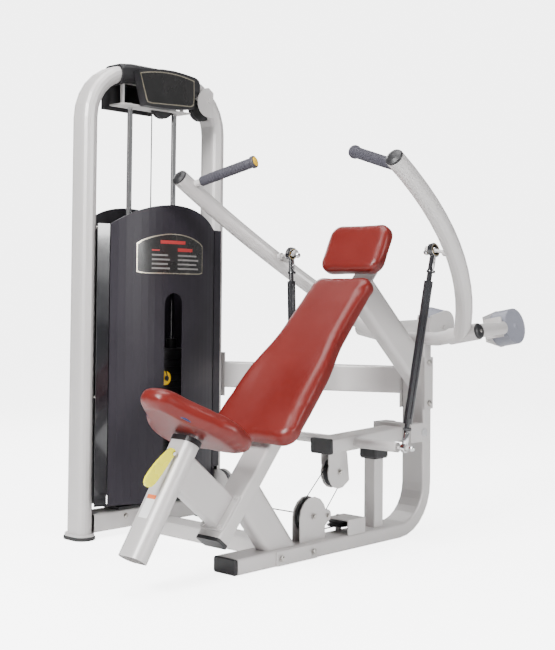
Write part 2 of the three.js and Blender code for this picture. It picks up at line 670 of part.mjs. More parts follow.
function armAssembly(side, label) {
  const make = side > 0 ? (geometry) => geometry : mirrored;
  const turn = new THREE.Euler(0, -side * degrees(PIVOT_TILT), 0);
  return group(vec(side * PIVOT_KNEE, POST_Y, PIVOT_HEIGHT), turn,
    piece(`arm_${label}`, make(armBody()), 'frame'),
    piece(`arm_cap_${label}`, make(armCap()), 'plastic'),
    piece(`grip_${label}`, make(gripSleeve()), 'rubber'),
    piece(`counterweight_${label}`, make(counterweight()), 'weight'));
}

// ---- cross members ------------------------------------------------------------------------------
function floorCrossTube() {
  const tube = bar(tubeSection(100, 50, 8), vec(-50 - GAP, -652, 25), vec(-698, -652, 25), Y_AXIS, 2);
  return piece('floor_cross_tube', tube, 'frame');
}

function clampPlate(name, length, height, centre, bolts) {
  const plate = bar(roundedRect(length, height, 4), centre, centre.clone().setX(centre.x + 5), Y_AXIS, 2);
  const heads = bolts.map(([y, z]) => hexBolt(centre.clone().add(vec(5, y, z)), X_AXIS));
  return piece(name, join(plate, ...heads), 'frame');
}

function midBrace() {
  const tube = bar(tubeSection(50, 100, 7), vec(-20, 36, 553), vec(-780, -309, 553), Y_AXIS, 2);
  const postPlate = box(vec(-55 - GAP, -8, 452), vec(-50 - GAP, 50, 641));
  const towerPlate = box(vec(-796, UPRIGHT_BACK + GAP, 470), vec(-696, UPRIGHT_BACK + 5, 640));
  const nearSide = box(vec(-50 - GAP, -200, 400), vec(200, 200, 700));
  const towerSide = box(vec(-900, -600, 400), vec(-600, UPRIGHT_BACK + GAP, 700));
  return piece('mid_brace_tube', cut(join(tube, postPlate, towerPlate), nearSide, towerSide), 'frame');
}

// ---- weight tower -------------------------------------------------------------------------------
/** The arch's solid outline in the tower's frame, swollen by an extra clearance. */
function archSolid(extra, section = roundedRect(UPRIGHT_DEPTH + 2 * extra, UPRIGHT_WIDTH + 2 * extra, 29)) {
  const top = TOWER_TOP - UPRIGHT_DEPTH / 2;
  const corners = [vec(0, -UPRIGHT_REACH, 14), vec(0, -UPRIGHT_REACH, top), vec(0, UPRIGHT_REACH, top),
      vec(0, UPRIGHT_REACH, 14)];
  return sweep(section, bentRoute(corners, [ARCH_BEND, ARCH_BEND], 7), 2);
}

function towerArch() {
  const tube = archSolid(0, tubeSection(UPRIGHT_DEPTH, UPRIGHT_WIDTH, 29));
  const flare = (y) => slab(roundedRect(118, 78, 38), 9, 4).translate(0, y, 12 + GAP);
  const cableSlot = box(vec(-8, UPRIGHT_REACH - 172, 1612), vec(8, UPRIGHT_REACH - 112, 1650));
  const baseSlot = box(vec(18, UPRIGHT_REACH - 32, 60), vec(60, UPRIGHT_REACH - 4, 205));
  const corner = vec(0, CORNER_PULLEY.y - TOWER_Y, CORNER_PULLEY.z);
  const cornerRoom = rod(56, corner.clone().setX(-16), corner.clone().setX(16), 32);
  const arch = cut(join(tube, flare(-UPRIGHT_REACH), flare(UPRIGHT_REACH)), cableSlot, baseSlot,
      cornerRoom);
  const cornerAxle = rod(8, corner.clone().setX(-47), corner.clone().setX(47), 12);
  return piece('tower_arch_tube', join(arch, cornerAxle, ...headPlate(), ...baseBracket()), 'frame');
}

function baseBracket() {
  const x = BASE_PULLEY.x - TOWER_X;
  const y = BASE_PULLEY.y - TOWER_Y;
  const { z } = BASE_PULLEY;
  const shape = new THREE.Shape();
  shape.absarc(0, 0, 64, 0, Math.PI, false);
  shape.lineTo(-64, -40);
  shape.lineTo(-36, -40);
  shape.lineTo(-36, -70);
  shape.lineTo(64, -70);
  const plate = slab(shape, 4, 6).rotateX(Math.PI / 2);
  const outer = plate.clone().translate(x, y - 14, z);
  const inner = plate.clone().translate(x, y + 18, z);
  const lid = box(vec(x - 20, y - 18, z - 70), vec(x + 64, y + 18, z - 66));
  return [outer, inner, lid, rod(8, vec(x, y - 24, z), vec(x, y + 22, z), 12)];
}

function towerBase() {
  const reach = UPRIGHT_REACH - UPRIGHT_DEPTH / 2 - GAP;
  const tube = bar(tubeSection(94, 66, 8), vec(0, -reach, 55), vec(0, reach, 55), X_AXIS, 2);
  return piece('tower_base_tube', tube, 'frame');
}

function foot(y) {
  const shape = roundedRect(126, 86, 41);
  const name = y < 0 ? 'tower_front_foot' : 'tower_rear_foot';
  const sole = new THREE.ExtrudeGeometry(shape,
    { depth: 8, bevelThickness: 2, bevelSize: 2, bevelOffset: -2, bevelSegments: 1, curveSegments: 3 });
  return piece(name, sole.translate(0, y, 2), 'plastic');
}

function guideRod(y) {
  return piece(y < 0 ? 'guide_rod_front' : 'guide_rod_rear', rod(ROD_RADIUS, vec(0, y, 88 + GAP), vec(0,
      y, 1552), 20), 'chrome');
}

function headCover() {
  const middle = box(vec(-80, -188, 1590), vec(80, 188, 1800));
  const shell = common(archSolid(7), middle);
  const nose = new THREE.Shape();
  nose.moveTo(-140, 1676);
  nose.quadraticCurveTo(0, 1712, 132, 1684);
  nose.lineTo(130, 1566);
  nose.quadraticCurveTo(10, 1546, -104, 1552);
  const block = slab(nose, 36, 5).rotateY(Math.PI / 2).rotateX(Math.PI / 2).translate(54, 0, 0);
  const back = box(vec(-66, -190, 1542), vec(-54, 40, 1660));
  const cableRoom = box(vec(-30, -175, 1560), vec(30, 200, 1660));
  return piece('head_cover', cut(join(shell, block, back), archSolid(0.5), cableRoom), 'plastic');
}

function headPlate() {
  const bridge = box(vec(-34, -176, 1552 + GAP), vec(46, 150, 1558));
  const nuts = [-1, 1].map((side) => rod(8.5, vec(0, side * ROD_REACH, 1557), vec(0, side * ROD_REACH,
      1568), 6));
  const hangers = [-160, 128].map((y) => box(vec(8, y, 1556), vec(22, y + 8,
      TOWER_TOP - UPRIGHT_DEPTH + 1.5)));
  const cheeks = [-24, 20].map((x) => box(vec(x, HEAD_PULLEY.y - TOWER_Y - 12, 1557), vec(x + 4,
      HEAD_PULLEY.y - TOWER_Y + 12, 1618)));
  const axle = rod(8, vec(-24, HEAD_PULLEY.y - TOWER_Y, HEAD_PULLEY.z), vec(24, HEAD_PULLEY.y - TOWER_Y,
      HEAD_PULLEY.z), 14);
  const slot = box(vec(-16, HEAD_PULLEY.y - TOWER_Y - 58, 1540), vec(16, HEAD_PULLEY.y - TOWER_Y + 58,
      1559));
  return [cut(bridge, slot), ...nuts, ...hangers, ...cheeks, axle];
}

function panelSheet() {
  const radius = (PANEL_HALF ** 2 + PANEL_BOW ** 2) / (2 * PANEL_BOW);
  const spread = Math.asin(PANEL_HALF / radius);
  const centre = PANEL_EDGE + PANEL_BOW - radius;
  const plan = new THREE.Shape();
  plan.absarc(centre, 0, radius, -spread, spread, false);
  plan.absarc(centre, 0, radius - SHEET, spread, -spread, true);
  const sheet = slab(plan, 1100, 9).translate(0, 0, 100);
  const face = new THREE.Shape();
  face.moveTo(-PANEL_HALF - 5, PANEL_BOTTOM);
  face.lineTo(PANEL_HALF + 5, PANEL_BOTTOM);
  face.lineTo(PANEL_HALF + 5, PANEL_SHOULDER - 4);
  face.quadraticCurveTo(PANEL_HALF * 0.6, PANEL_APEX - 2, 0, PANEL_APEX);
  face.quadraticCurveTo(-PANEL_HALF * 0.6, PANEL_APEX - 2, -PANEL_HALF - 5, PANEL_SHOULDER - 4);
  return common(sheet, slab(face, 300, 10).rotateY(Math.PI / 2).rotateX(Math.PI / 2));
}

function shroudFront() {
  const slot = new THREE.Shape();
  slot.moveTo(-43, 150);
  slot.lineTo(43, 150);
  slot.absarc(0, 826, 43, 0, Math.PI, false);
  const opening = slab(slot, 300, 8).rotateY(Math.PI / 2).rotateX(Math.PI / 2);
  return piece('shroud_front', cut(panelSheet(), opening), 'slate');
}

function shroudRear() {
  return piece('shroud_rear', mirrored(panelSheet()), 'slate');
}

function sideCover(side) {
  const inner = side * (PANEL_HALF + 4);
  const outer = side * (PANEL_HALF + 7);
  const lip = side * (PANEL_HALF + 48);
  const plan = new THREE.Shape();
  const points = [[-78, inner], [78, inner], [67, lip], [64, lip], [74, outer], [-74, outer], [-64, lip],
      [-67, lip]];
  plan.setFromPoints((side > 0 ? points : points.reverse()).map(([x, y]) => new THREE.Vector2(x, y)));
  const name = side < 0 ? 'side_cover_front' : 'side_cover_rear';
  const channel = slab(plan, PANEL_SHOULDER - PANEL_BOTTOM).translate(0, 0, PANEL_BOTTOM);
  const bracketRoom = box(vec(20, 262, 100), vec(160, 320, 205));
  return piece(name, cut(channel, bracketRoom), side < 0 ? 'gloss' : 'slate');
}

function stackBase() {
  const plate = box(vec(-45, -170, 88 + GAP), vec(45, 170, 98));
  const buffers = [-1, 1].map((side) => rod(22, vec(0, side * ROD_REACH, 97), vec(0, side * ROD_REACH,
      STACK_BOTTOM - GAP), 20));
  const holes = [-1, 1].map((side) => rod(ROD_RADIUS + GAP, vec(0, side * ROD_REACH, 80), vec(0,
      side * ROD_REACH, 140), 20));
  return piece('stack_base', cut(join(plate, ...buffers), ...holes), 'iron');
}

/** Weight plates as one block with a groove at every joint, bored for the rods, the stem and the pins. */
function platePack(bottom, count) {
  const x = PLATE_DEEP / 2;
  const right = [];
  for (let k = 0; k < count; k += 1) {
    const low = bottom + k * PLATE_PITCH;
    right.push([x, low], [x, low + PLATE_PITCH - 1]);
    if (k < count - 1) {
      right.push([x - 7, low + PLATE_PITCH - 1], [x - 7, low + PLATE_PITCH]);
    }
  }
  const left = right.map(([px, pz]) => [-px, pz]).reverse();
  const shape = new THREE.Shape([...right, ...left].map(([px, pz]) => new THREE.Vector2(px, pz)));
  const block = slab(shape, PLATE_LONG).rotateX(Math.PI / 2).translate(0, PLATE_LONG / 2, 0);
  const top = bottom + count * PLATE_PITCH;
  const holes = [-ROD_REACH, ROD_REACH].map((y) => rod(11.5, vec(0, y, bottom - 9), vec(0, y, top + 9),
      16));
  const pinHoles = [];
  for (let k = 0; k < count; k += 1) {
    const z = bottom + k * PLATE_PITCH + (PLATE_PITCH - 1) / 2;
    pinHoles.push(rod(5.5, vec(0, 0, z), vec(x + 9, 0, z), 6));
  }
  return cut(block, rod(13, vec(0, 0, bottom - 9), vec(0, 0, top + 9), 16), ...holes, ...pinHoles);
}

const LIFTED_BOTTOM = STACK_BOTTOM + LOWER_PLATES * PLATE_PITCH;
const TOP_BOTTOM = LIFTED_BOTTOM + LIFTED_PLATES * PLATE_PITCH;
const PIN_HEIGHT = LIFTED_BOTTOM + (PLATE_PITCH - 1) / 2;

function topPlate() {
  const x = PLATE_DEEP / 2;
  const plate = box(vec(-x, -PLATE_LONG / 2, TOP_BOTTOM + GAP), vec(x, PLATE_LONG / 2,
      TOP_BOTTOM + TOP_PLATE));
  const bushes = [-1, 1].map((side) => rod(20, vec(0, side * ROD_REACH, TOP_BOTTOM + 9), vec(0,
      side * ROD_REACH, TOP_BOTTOM + TOP_PLATE + 36), 20));
  const bores = [-1, 1].map((side) => rod(ROD_RADIUS + 0.5, vec(0, side * ROD_REACH, TOP_BOTTOM - 9),
      vec(0, side * ROD_REACH, 760), 20));
  const stem = rod(12, vec(0, 0, STACK_BOTTOM + 6), vec(0, 0, TOP_BOTTOM + TOP_PLATE + 30), 16);
  const pinHole = rod(5.4, vec(-30, 0, PIN_HEIGHT), vec(30, 0, PIN_HEIGHT), 10);
  return piece('stack_top_plate', cut(join(plate, ...bushes, stem), ...bores, pinHole), 'iron');
}

function selectorPin() {
  const shaft = rod(4.2, vec(-8, 0, PIN_HEIGHT), vec(88, 0, PIN_HEIGHT), 12);
  const knob = turned([[0, 0], [26, 0], [26, 8], [20, 12], [0, 12]],
      24).rotateY(Math.PI / 2).translate(86, 0, PIN_HEIGHT);
  return piece('selector_pin', join(shaft, knob), 'yellow');
}

function cornerCover() {
  const shape = new THREE.Shape();
  shape.absarc(0, 0, 57, Math.PI / 2, Math.PI * 1.5, false);
  shape.lineTo(20, -57);
  shape.lineTo(24, 40);
  const cover = slab(shape, 4, 8).rotateY(Math.PI / 2).rotateX(Math.PI / 2).translate(58, 231, 1606);
  const bolt = rod(9, vec(61, 231, 1613), vec(68, 231, 1613), 6);
  return piece('corner_pulley_cover', join(cover, bolt), 'frame');
}

// ---- pulleys and cable --------------------------------------------------------------------------
function wheel(name, position, groove, turn) {
  const mesh = piece(name, pulleyWheel(groove), 'plastic');
  mesh.position.copy(position);
  mesh.rotation.copy(turn);
  return mesh;
}

function pulleys() {
  return [
    wheel('head_pulley', vec(TOWER_X, HEAD_PULLEY.y, HEAD_PULLEY.z), HEAD_PULLEY.groove, alongX),
    wheel('corner_pulley', vec(TOWER_X, CORNER_PULLEY.y, CORNER_PULLEY.z), CORNER_PULLEY.groove, alongX),
    wheel('base_pulley', vec(BASE_PULLEY.x, BASE_PULLEY.y, BASE_PULLEY.z), BASE_PULLEY.groove, alongY),
    wheel('turn_pulley', vec(TURN_PULLEY.x, TURN_PULLEY.y, TURN_PULLEY.z), TURN_PULLEY.groove, upright),
    wheel('lower_pulley', vec(0, LOWER_PULLEY.y, LOWER_PULLEY.z), LOWER_PULLEY.groove, alongX),
    wheel('lever_pulley', vec(0, LEVER_PULLEY.y, LEVER_PULLEY.z), LEVER_PULLEY.groove, alongX),
  ];
}

function cableStackRun() {
  const bottom = vec(TOWER_X, TOWER_Y - RIDE, TOP_BOTTOM + TOP_PLATE + 30 + GAP);
  return piece('cable_stack_run', rod(CABLE_RADIUS, bottom, vec(TOWER_X, TOWER_Y - RIDE,
      HEAD_PULLEY.z - 1), 8), 'cable');
}

function cableMainRun() {
  const head = vec(TOWER_X, HEAD_PULLEY.y, HEAD_PULLEY.z);
  const corner = vec(TOWER_X, CORNER_PULLEY.y, CORNER_PULLEY.z);
  const base = vec(BASE_PULLEY.x, BASE_PULLEY.y, BASE_PULLEY.z);
  const turn = vec(TURN_PULLEY.x, TURN_PULLEY.y, TURN_PULLEY.z);
  const lower = vec(0, LOWER_PULLEY.y, LOWER_PULLEY.z);
  const minusY = Y_AXIS.clone().negate();
  const minusX = X_AXIS.clone().negate();
  const minusZ = Z_AXIS.clone().negate();
  const leave = commonAngle(LOWER_PULLEY, LEVER_PULLEY);
  const climb = Math.atan2(CORNER_PULLEY.z - HEAD_PULLEY.z, CORNER_PULLEY.y - HEAD_PULLEY.y);
  const points = [
    ...arcPoints(head, HEAD_PULLEY.groove + RIDE, minusY, Z_AXIS, 0, Math.PI / 2 - climb, 7),
    ...arcPoints(corner, CORNER_PULLEY.groove + RIDE, Z_AXIS, Y_AXIS, -climb, Math.PI / 2, 8),
    ...arcPoints(base, BASE_PULLEY.groove + RIDE, minusX, minusZ, 0, Math.PI / 2, 8),
    ...arcPoints(turn, TURN_PULLEY.groove + RIDE, Y_AXIS, X_AXIS, 0, Math.PI / 2, 8),
    ...arcPoints(lower, LOWER_PULLEY.groove + RIDE, minusZ, minusY, 0, Math.PI * 1.5 - leave, 11),
  ];
  return piece('cable_main_run', sweep(disc(CABLE_RADIUS), new Route(points), 2), 'cable');
}

function cableLeverLoop() {
  const angle = commonAngle(LOWER_PULLEY, LEVER_PULLEY);
  const radial = vec(0, Math.cos(angle), Math.sin(angle));
  const lower = vec(0, LOWER_PULLEY.y, LOWER_PULLEY.z);
  const upper = vec(0, LEVER_PULLEY.y, LEVER_PULLEY.z);
  const along = upper.clone().sub(lower).normalize();
  const start = lower.clone().addScaledVector(radial, LOWER_PULLEY.groove + RIDE).addScaledVector(along, 1);
  const ride = { ...LEVER_PULLEY, groove: LEVER_PULLEY.groove + RIDE };
  const away = leavePoint(ride, ANCHOR[0], ANCHOR[1] + 12, 1);
  const endAngle = Math.atan2(away.z - upper.z, away.y - upper.y);
  const points = [start, ...arcPoints(upper, ride.groove, Y_AXIS, Z_AXIS, angle, endAngle, 14)];
  points.push(vec(0, ANCHOR[0], ANCHOR[1]).lerp(away, 8.2 / away.distanceTo(vec(0, ANCHOR[0], ANCHOR[1]))));
  return piece('cable_lever_loop', sweep(disc(CABLE_RADIUS), new Route(points), 2), 'cable');
}

function bumperBlock() {
  const block = new THREE.ExtrudeGeometry(roundedRect(66, 66, 4),
    { depth: 26, bevelThickness: 8, bevelSize: 5, bevelSegments: 1, curveSegments: 2 });
  return piece('bumper_block', block.translate(0, -225, 298 + GAP), 'plastic');
}

// ---- assembly -----------------------------------------------------------------------------------
const tower = group(vec(TOWER_X, TOWER_Y, 0), upright,
  towerArch(), towerBase(), foot(-UPRIGHT_REACH), foot(UPRIGHT_REACH), guideRod(-ROD_REACH),
      guideRod(ROD_REACH),
  headCover(), shroudFront(), shroudRear(), sideCover(-1), sideCover(1), stackBase(), cornerCover(),
  piece('lower_weight_plates', platePack(STACK_BOTTOM, LOWER_PLATES), 'iron'),
  piece('lifted_weight_plates', platePack(LIFTED_BOTTOM, LIFTED_PLATES), 'iron'),
  topPlate(), selectorPin());

const seat = group(SEAT_ORIGIN, seatTurn, seatSleeve(), seatCollar(), seatPost(), seatPad(), seatLever());
const back = group(vec(0, -870, 437), padTurn, backPad());
const head = group(vec(0, -402, 936), headTurn, headPad());

const machine = new THREE.Group();
machine.add(mainFrame(), mainFrameCap(), pivotCrossTube(), backSupport(), inclinedPost(),
    inclinedPostCap(), frontLeg(),
  seatArm(), floorCrossTube(), 
  clampPlate('beam_clamp_plate', 194, 46, vec(50 + GAP, -679, 25), [[-77, 0], [76, 0]]),
  clampPlate('brace_clamp_plate', 52, 190, vec(50 + GAP, 25, 546), [[0, -73], [0, 75]]),
  midBrace(), bumperBlock(),
  pressLever(), pressLeverCap(), leverPin(), linkRod(1, 'link_rod_left'), linkRod(-1, 'link_rod_right'),
  armAssembly(1, 'left'), armAssembly(-1, 'right'), tower, seat, back, head, ...pulleys(),
  cableStackRun(), cableMainRun(), cableLeverLoop());

// The origin is the middle of the box the machine covers on the floor.
const middle = new THREE.Box3().setFromObject(machine, true).getCenter(vec(0, 0, 0));
machine.position.set(-middle.x, -middle.y, 0);
const object = new THREE.Group();
object.add(machine);

export default object;
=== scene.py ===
"""Seated press machine with a shrouded weight stack: materials, soft goods and fittings over its frame."""

import json
import logging
import math
from dataclasses import dataclass, field
from enum import Enum

import bmesh
import bpy
import numpy as np
from mathutils import Matrix, Vector


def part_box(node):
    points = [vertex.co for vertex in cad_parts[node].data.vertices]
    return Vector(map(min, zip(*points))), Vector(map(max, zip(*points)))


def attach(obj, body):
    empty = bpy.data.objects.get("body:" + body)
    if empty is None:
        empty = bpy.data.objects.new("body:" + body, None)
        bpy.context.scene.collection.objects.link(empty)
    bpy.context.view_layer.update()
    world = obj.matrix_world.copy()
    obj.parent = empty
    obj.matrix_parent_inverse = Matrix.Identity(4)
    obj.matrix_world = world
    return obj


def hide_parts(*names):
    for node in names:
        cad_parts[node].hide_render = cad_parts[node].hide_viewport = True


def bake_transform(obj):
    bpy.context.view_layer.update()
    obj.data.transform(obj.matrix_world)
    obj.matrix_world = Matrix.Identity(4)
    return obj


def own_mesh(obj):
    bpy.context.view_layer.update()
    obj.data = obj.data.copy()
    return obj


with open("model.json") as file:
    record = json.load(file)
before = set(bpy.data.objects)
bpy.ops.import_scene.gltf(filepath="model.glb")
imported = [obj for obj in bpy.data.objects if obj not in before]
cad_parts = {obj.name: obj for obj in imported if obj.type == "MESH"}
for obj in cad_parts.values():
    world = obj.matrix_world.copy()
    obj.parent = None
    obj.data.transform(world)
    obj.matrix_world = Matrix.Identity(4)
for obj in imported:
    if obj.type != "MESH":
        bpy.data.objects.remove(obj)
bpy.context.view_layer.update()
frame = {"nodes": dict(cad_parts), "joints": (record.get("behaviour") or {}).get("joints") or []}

LOG = logging.getLogger("press_machine")
Profile = list[tuple[float, float]]
Colour = tuple[float, float, float]


# ---- places -------------------------------------------------------------------------------------
def machine_point(x: float, y: float, z: float) -> Vector:
    """A point given from the beam's middle plane, the rear post's front face and the floor, in millimetres.

    Args:
        x: Distance to the user's left of the beam's middle plane.
        y: Distance behind the rear post's front face.
        z: Height above the floor.

    Returns:
        The same point in the row frame, in metres.
    """
    low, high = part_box("main_frame_tube")
    return Vector(((low.x + high.x) / 2 + x / 1000, high.y - 0.050 + y / 1000, z / 1000))


def long_axis(node: str) -> tuple[Vector, Vector]:
    """The two end points of a slender node's own axis, lowest first.

    Args:
        node: Name of a CAD node.

    Returns:
        The end points in the row frame.
    """
    points = np.array([v.co for v in frame["nodes"][node].data.vertices])
    low, high = points.min(0), points.max(0)
    middle = (low + high) / 2
    _, _, rows = np.linalg.svd(points - points.mean(0), full_matrices=False)
    along = (points - middle) @ rows[0]
    ends = [Vector(points[np.abs(along - limit) < 0.004].mean(0)) for limit in (along.min(), along.max())]
    return tuple(sorted(ends, key=lambda end: end.z))


def joint(name: str) -> dict:
    """The record's joint of that name."""
    return next(item for item in frame["joints"] if item["name"] == name)


# ---- shader groups ------------------------------------------------------------------------------
class Tree:
    """A thin helper that adds and links nodes in one tree."""

    def __init__(self, tree: bpy.types.NodeTree) -> None:
        """Keep the tree that the nodes are added to."""
        self.tree = tree

    def add(self, kind: str, **values: object) -> bpy.types.Node:
        """Add a node.

        Args:
            kind: Blender's node type name.
            **values: Node properties, or input values by input name with spaces as underscores.

        Returns:
            The new node.
        """
        node = self.tree.nodes.new(kind)
        for key, value in values.items():
            if hasattr(node, key):
                setattr(node, key, value)
            else:
                node.inputs[key.replace("_", " ")].default_value = value
        return node

    def link(self, start: bpy.types.NodeSocket, end: bpy.types.NodeSocket) -> None:
        """Join an output to an input."""
        self.tree.links.new(start, end)


def new_group(name: str, inputs: dict[str, str], outputs: dict[str, str]) -> tuple[Tree, bpy.types.Node,
        bpy.types.Node]:
    """Start a shader node group.

    Args:
        name: The group's name.
        inputs: Socket type by input name.
        outputs: Socket type by output name.

    Returns:
        The tree helper, the group's input node and its output node.
    """
    tree = bpy.data.node_groups.new(name, "ShaderNodeTree")
    for label, kind in inputs.items():
        tree.interface.new_socket(name=label, in_out="INPUT", socket_type=kind)
    for label, kind in outputs.items():
        tree.interface.new_socket(name=label, in_out="OUTPUT", socket_type=kind)
    helper = Tree(tree)
    return helper, helper.add("NodeGroupInput"), helper.add("NodeGroupOutput")


def tone_group() -> bpy.types.NodeTree:
    """A slow drift between two colours with a finer one on top of it."""
    tree, start, end = new_group(
        "tone_drift",
        {"Vector": "NodeSocketVector", "First": "NodeSocketColor", "Second": "NodeSocketColor",
            "Scale": "NodeSocketFloat"},
        {"Colour": "NodeSocketColor", "Mask": "NodeSocketFloat"},
    )
    slow = tree.add("ShaderNodeTexNoise", Detail=4.0, Roughness=0.55)
    tree.link(start.outputs["Vector"], slow.inputs["Vector"])
    tree.link(start.outputs["Scale"], slow.inputs["Scale"])
    spread = tree.add("ShaderNodeMapRange", From_Min=0.32, From_Max=0.68)
    tree.link(slow.outputs["Fac"], spread.inputs["Value"])
    mix = tree.add("ShaderNodeMix", data_type="RGBA")
    tree.link(spread.outputs["Result"], mix.inputs[0])
    tree.link(start.outputs["First"], mix.inputs[6])
    tree.link(start.outputs["Second"], mix.inputs[7])
    tree.link(mix.outputs[2], end.inputs["Colour"])
    tree.link(spread.outputs["Result"], end.inputs["Mask"])
    return tree.tree


def grain_group() -> bpy.types.NodeTree:
    """Pebbled grain: cells with soft valleys between them, over a fine noise."""
    tree, start, end = new_group(
        "pebble_grain",
        {"Vector": "NodeSocketVector", "Scale": "NodeSocketFloat", "Fine": "NodeSocketFloat"},
        {"Height": "NodeSocketFloat", "Valleys": "NodeSocketFloat"},
    )
    warp = tree.add("ShaderNodeTexNoise", Scale=40.0, Detail=2.0)
    tree.link(start.outputs["Vector"], warp.inputs["Vector"])
    moved = tree.add("ShaderNodeMix", data_type="VECTOR")
    moved.inputs[0].default_value = 0.012
    tree.link(start.outputs["Vector"], moved.inputs[4])
    tree.link(warp.outputs["Color"], moved.inputs[5])
    cells = tree.add("ShaderNodeTexVoronoi", feature="DISTANCE_TO_EDGE")
    tree.link(moved.outputs[1], cells.inputs["Vector"])
    tree.link(start.outputs["Scale"], cells.inputs["Scale"])
    dome = tree.add("ShaderNodeMapRange", From_Min=0.0, From_Max=0.28)
    tree.link(cells.outputs["Distance"], dome.inputs["Value"])
    noise = tree.add("ShaderNodeTexNoise", Detail=5.0)
    tree.link(start.outputs["Vector"], noise.inputs["Vector"])
    tree.link(start.outputs["Scale"], noise.inputs["Scale"])
    both = tree.add("ShaderNodeMix", data_type="FLOAT")
    tree.link(start.outputs["Fine"], both.inputs[0])
    tree.link(dome.outputs["Result"], both.inputs[2])
    tree.link(noise.outputs["Fac"], both.inputs[3])
    tree.link(both.outputs[0], end.inputs["Height"])
    tree.link(dome.outputs["Result"], end.inputs["Valleys"])
    return tree.tree


def wear_group() -> bpy.types.NodeTree:
    """Sparse rubbed patches and settled dust, stronger towards the floor."""
    tree, start, end = new_group(
        "rubbed_wear",
        {"Vector": "NodeSocketVector", "Amount": "NodeSocketFloat"},
        {"Mask": "NodeSocketFloat"},
    )
    patches = tree.add("ShaderNodeTexNoise", Scale=9.0, Detail=8.0, Roughness=0.7)
    tree.link(start.outputs["Vector"], patches.inputs["Vector"])
    sharp = tree.add("ShaderNodeMapRange", From_Min=0.56, From_Max=0.78)
    tree.link(patches.outputs["Fac"], sharp.inputs["Value"])
    split = tree.add("ShaderNodeSeparateXYZ")
    tree.link(start.outputs["Vector"], split.inputs["Vector"])
    low = tree.add("ShaderNodeMapRange", From_Min=0.0, From_Max=0.25, To_Min=1.0, To_Max=0.35)
    tree.link(split.outputs["Z"], low.inputs["Value"])
    product = tree.add("ShaderNodeMath", operation="MULTIPLY")
    tree.link(sharp.outputs["Result"], product.inputs[0])
    tree.link(low.outputs["Result"], product.inputs[1])
    scaled = tree.add("ShaderNodeMath", operation="MULTIPLY")
    tree.link(product.outputs["Value"], scaled.inputs[0])
    tree.link(start.outputs["Amount"], scaled.inputs[1])
    tree.link(scaled.outputs["Value"], end.inputs["Mask"])
    return tree.tree


GROUPS = {"tone": tone_group(), "grain": grain_group(), "wear": wear_group()}


# ---- finishes -----------------------------------------------------------------------------------
@dataclass(frozen=True)
class Finish:
    """One surface finish, with everything its material needs."""

    name: str
    colour: Colour
    second: Colour
    rough: tuple[float, float]
    metal: float = 0.0
    coat: float = 0.0
    coat_rough: float = 0.15
    sheen: float = 0.0
    specular: float = 0.5
    tone_scale: float = 6.0
    grain_scale: float = 400.0
    grain_fine: float = 1.0
    bump: float = 0.15
    depth: float = 0.0004
    wear: float = 0.25

    def material(self) -> bpy.types.Material:
        """The Blender material of this finish, built once."""
        found = bpy.data.materials.get(self.name)
        return found if found else self._build()

    def _group(self, tree: Tree, kind: str, **values: object) -> bpy.types.Node:
        """Place one of the shared groups and set its own values."""
        node = tree.add("ShaderNodeGroup", node_tree=GROUPS[kind])
        for key, value in values.items():
            node.inputs[key].default_value = value
        return node

    def _build(self) -> bpy.types.Material:
        """Make the material's nodes."""
        material = bpy.data.materials.new(self.name)
        material.use_nodes = True
        tree = Tree(material.node_tree)
        shader = material.node_tree.nodes["Principled BSDF"]
        for socket, value in {"Metallic": self.metal, "Coat Weight": self.coat,
            "Coat Roughness": self.coat_rough,
                              "Sheen Weight": self.sheen, "Specular IOR Level": self.specular}.items():
            shader.inputs[socket].default_value = value
        place = tree.add("ShaderNodeTexCoord")
        tone = self._group(tree, "tone", First=(*self.colour, 1), Second=(*self.second, 1),
            Scale=self.tone_scale)
        grain = self._group(tree, "grain", Scale=self.grain_scale, Fine=self.grain_fine)
        wear = self._group(tree, "wear", Amount=self.wear)
        for node in (tone, grain, wear):
            tree.link(place.outputs["Object"], node.inputs["Vector"])
        worn = tree.add("ShaderNodeMix", data_type="RGBA")
        worn.inputs[7].default_value = (*[min(1.0, 0.7 * c + 0.1) for c in self.colour], 1)
        tree.link(wear.outputs["Mask"], worn.inputs[0])
        tree.link(tone.outputs["Colour"], worn.inputs[6])
        tree.link(worn.outputs[2], shader.inputs["Base Color"])
        rough = tree.add("ShaderNodeMapRange", To_Min=self.rough[0], To_Max=self.rough[1])
        tree.link(tone.outputs["Mask"], rough.inputs["Value"])
        rubbed = tree.add("ShaderNodeMath", operation="MULTIPLY_ADD")
        rubbed.inputs[1].default_value = 0.25
        tree.link(wear.outputs["Mask"], rubbed.inputs[0])
        tree.link(rough.outputs["Result"], rubbed.inputs[2])
        tree.link(rubbed.outputs["Value"], shader.inputs["Roughness"])
        bump = tree.add("ShaderNodeBump", Strength=self.bump, Distance=self.depth)
        tree.link(grain.outputs["Height"], bump.inputs["Height"])
        tree.link(bump.outputs["Normal"], shader.inputs["Normal"])
        return material


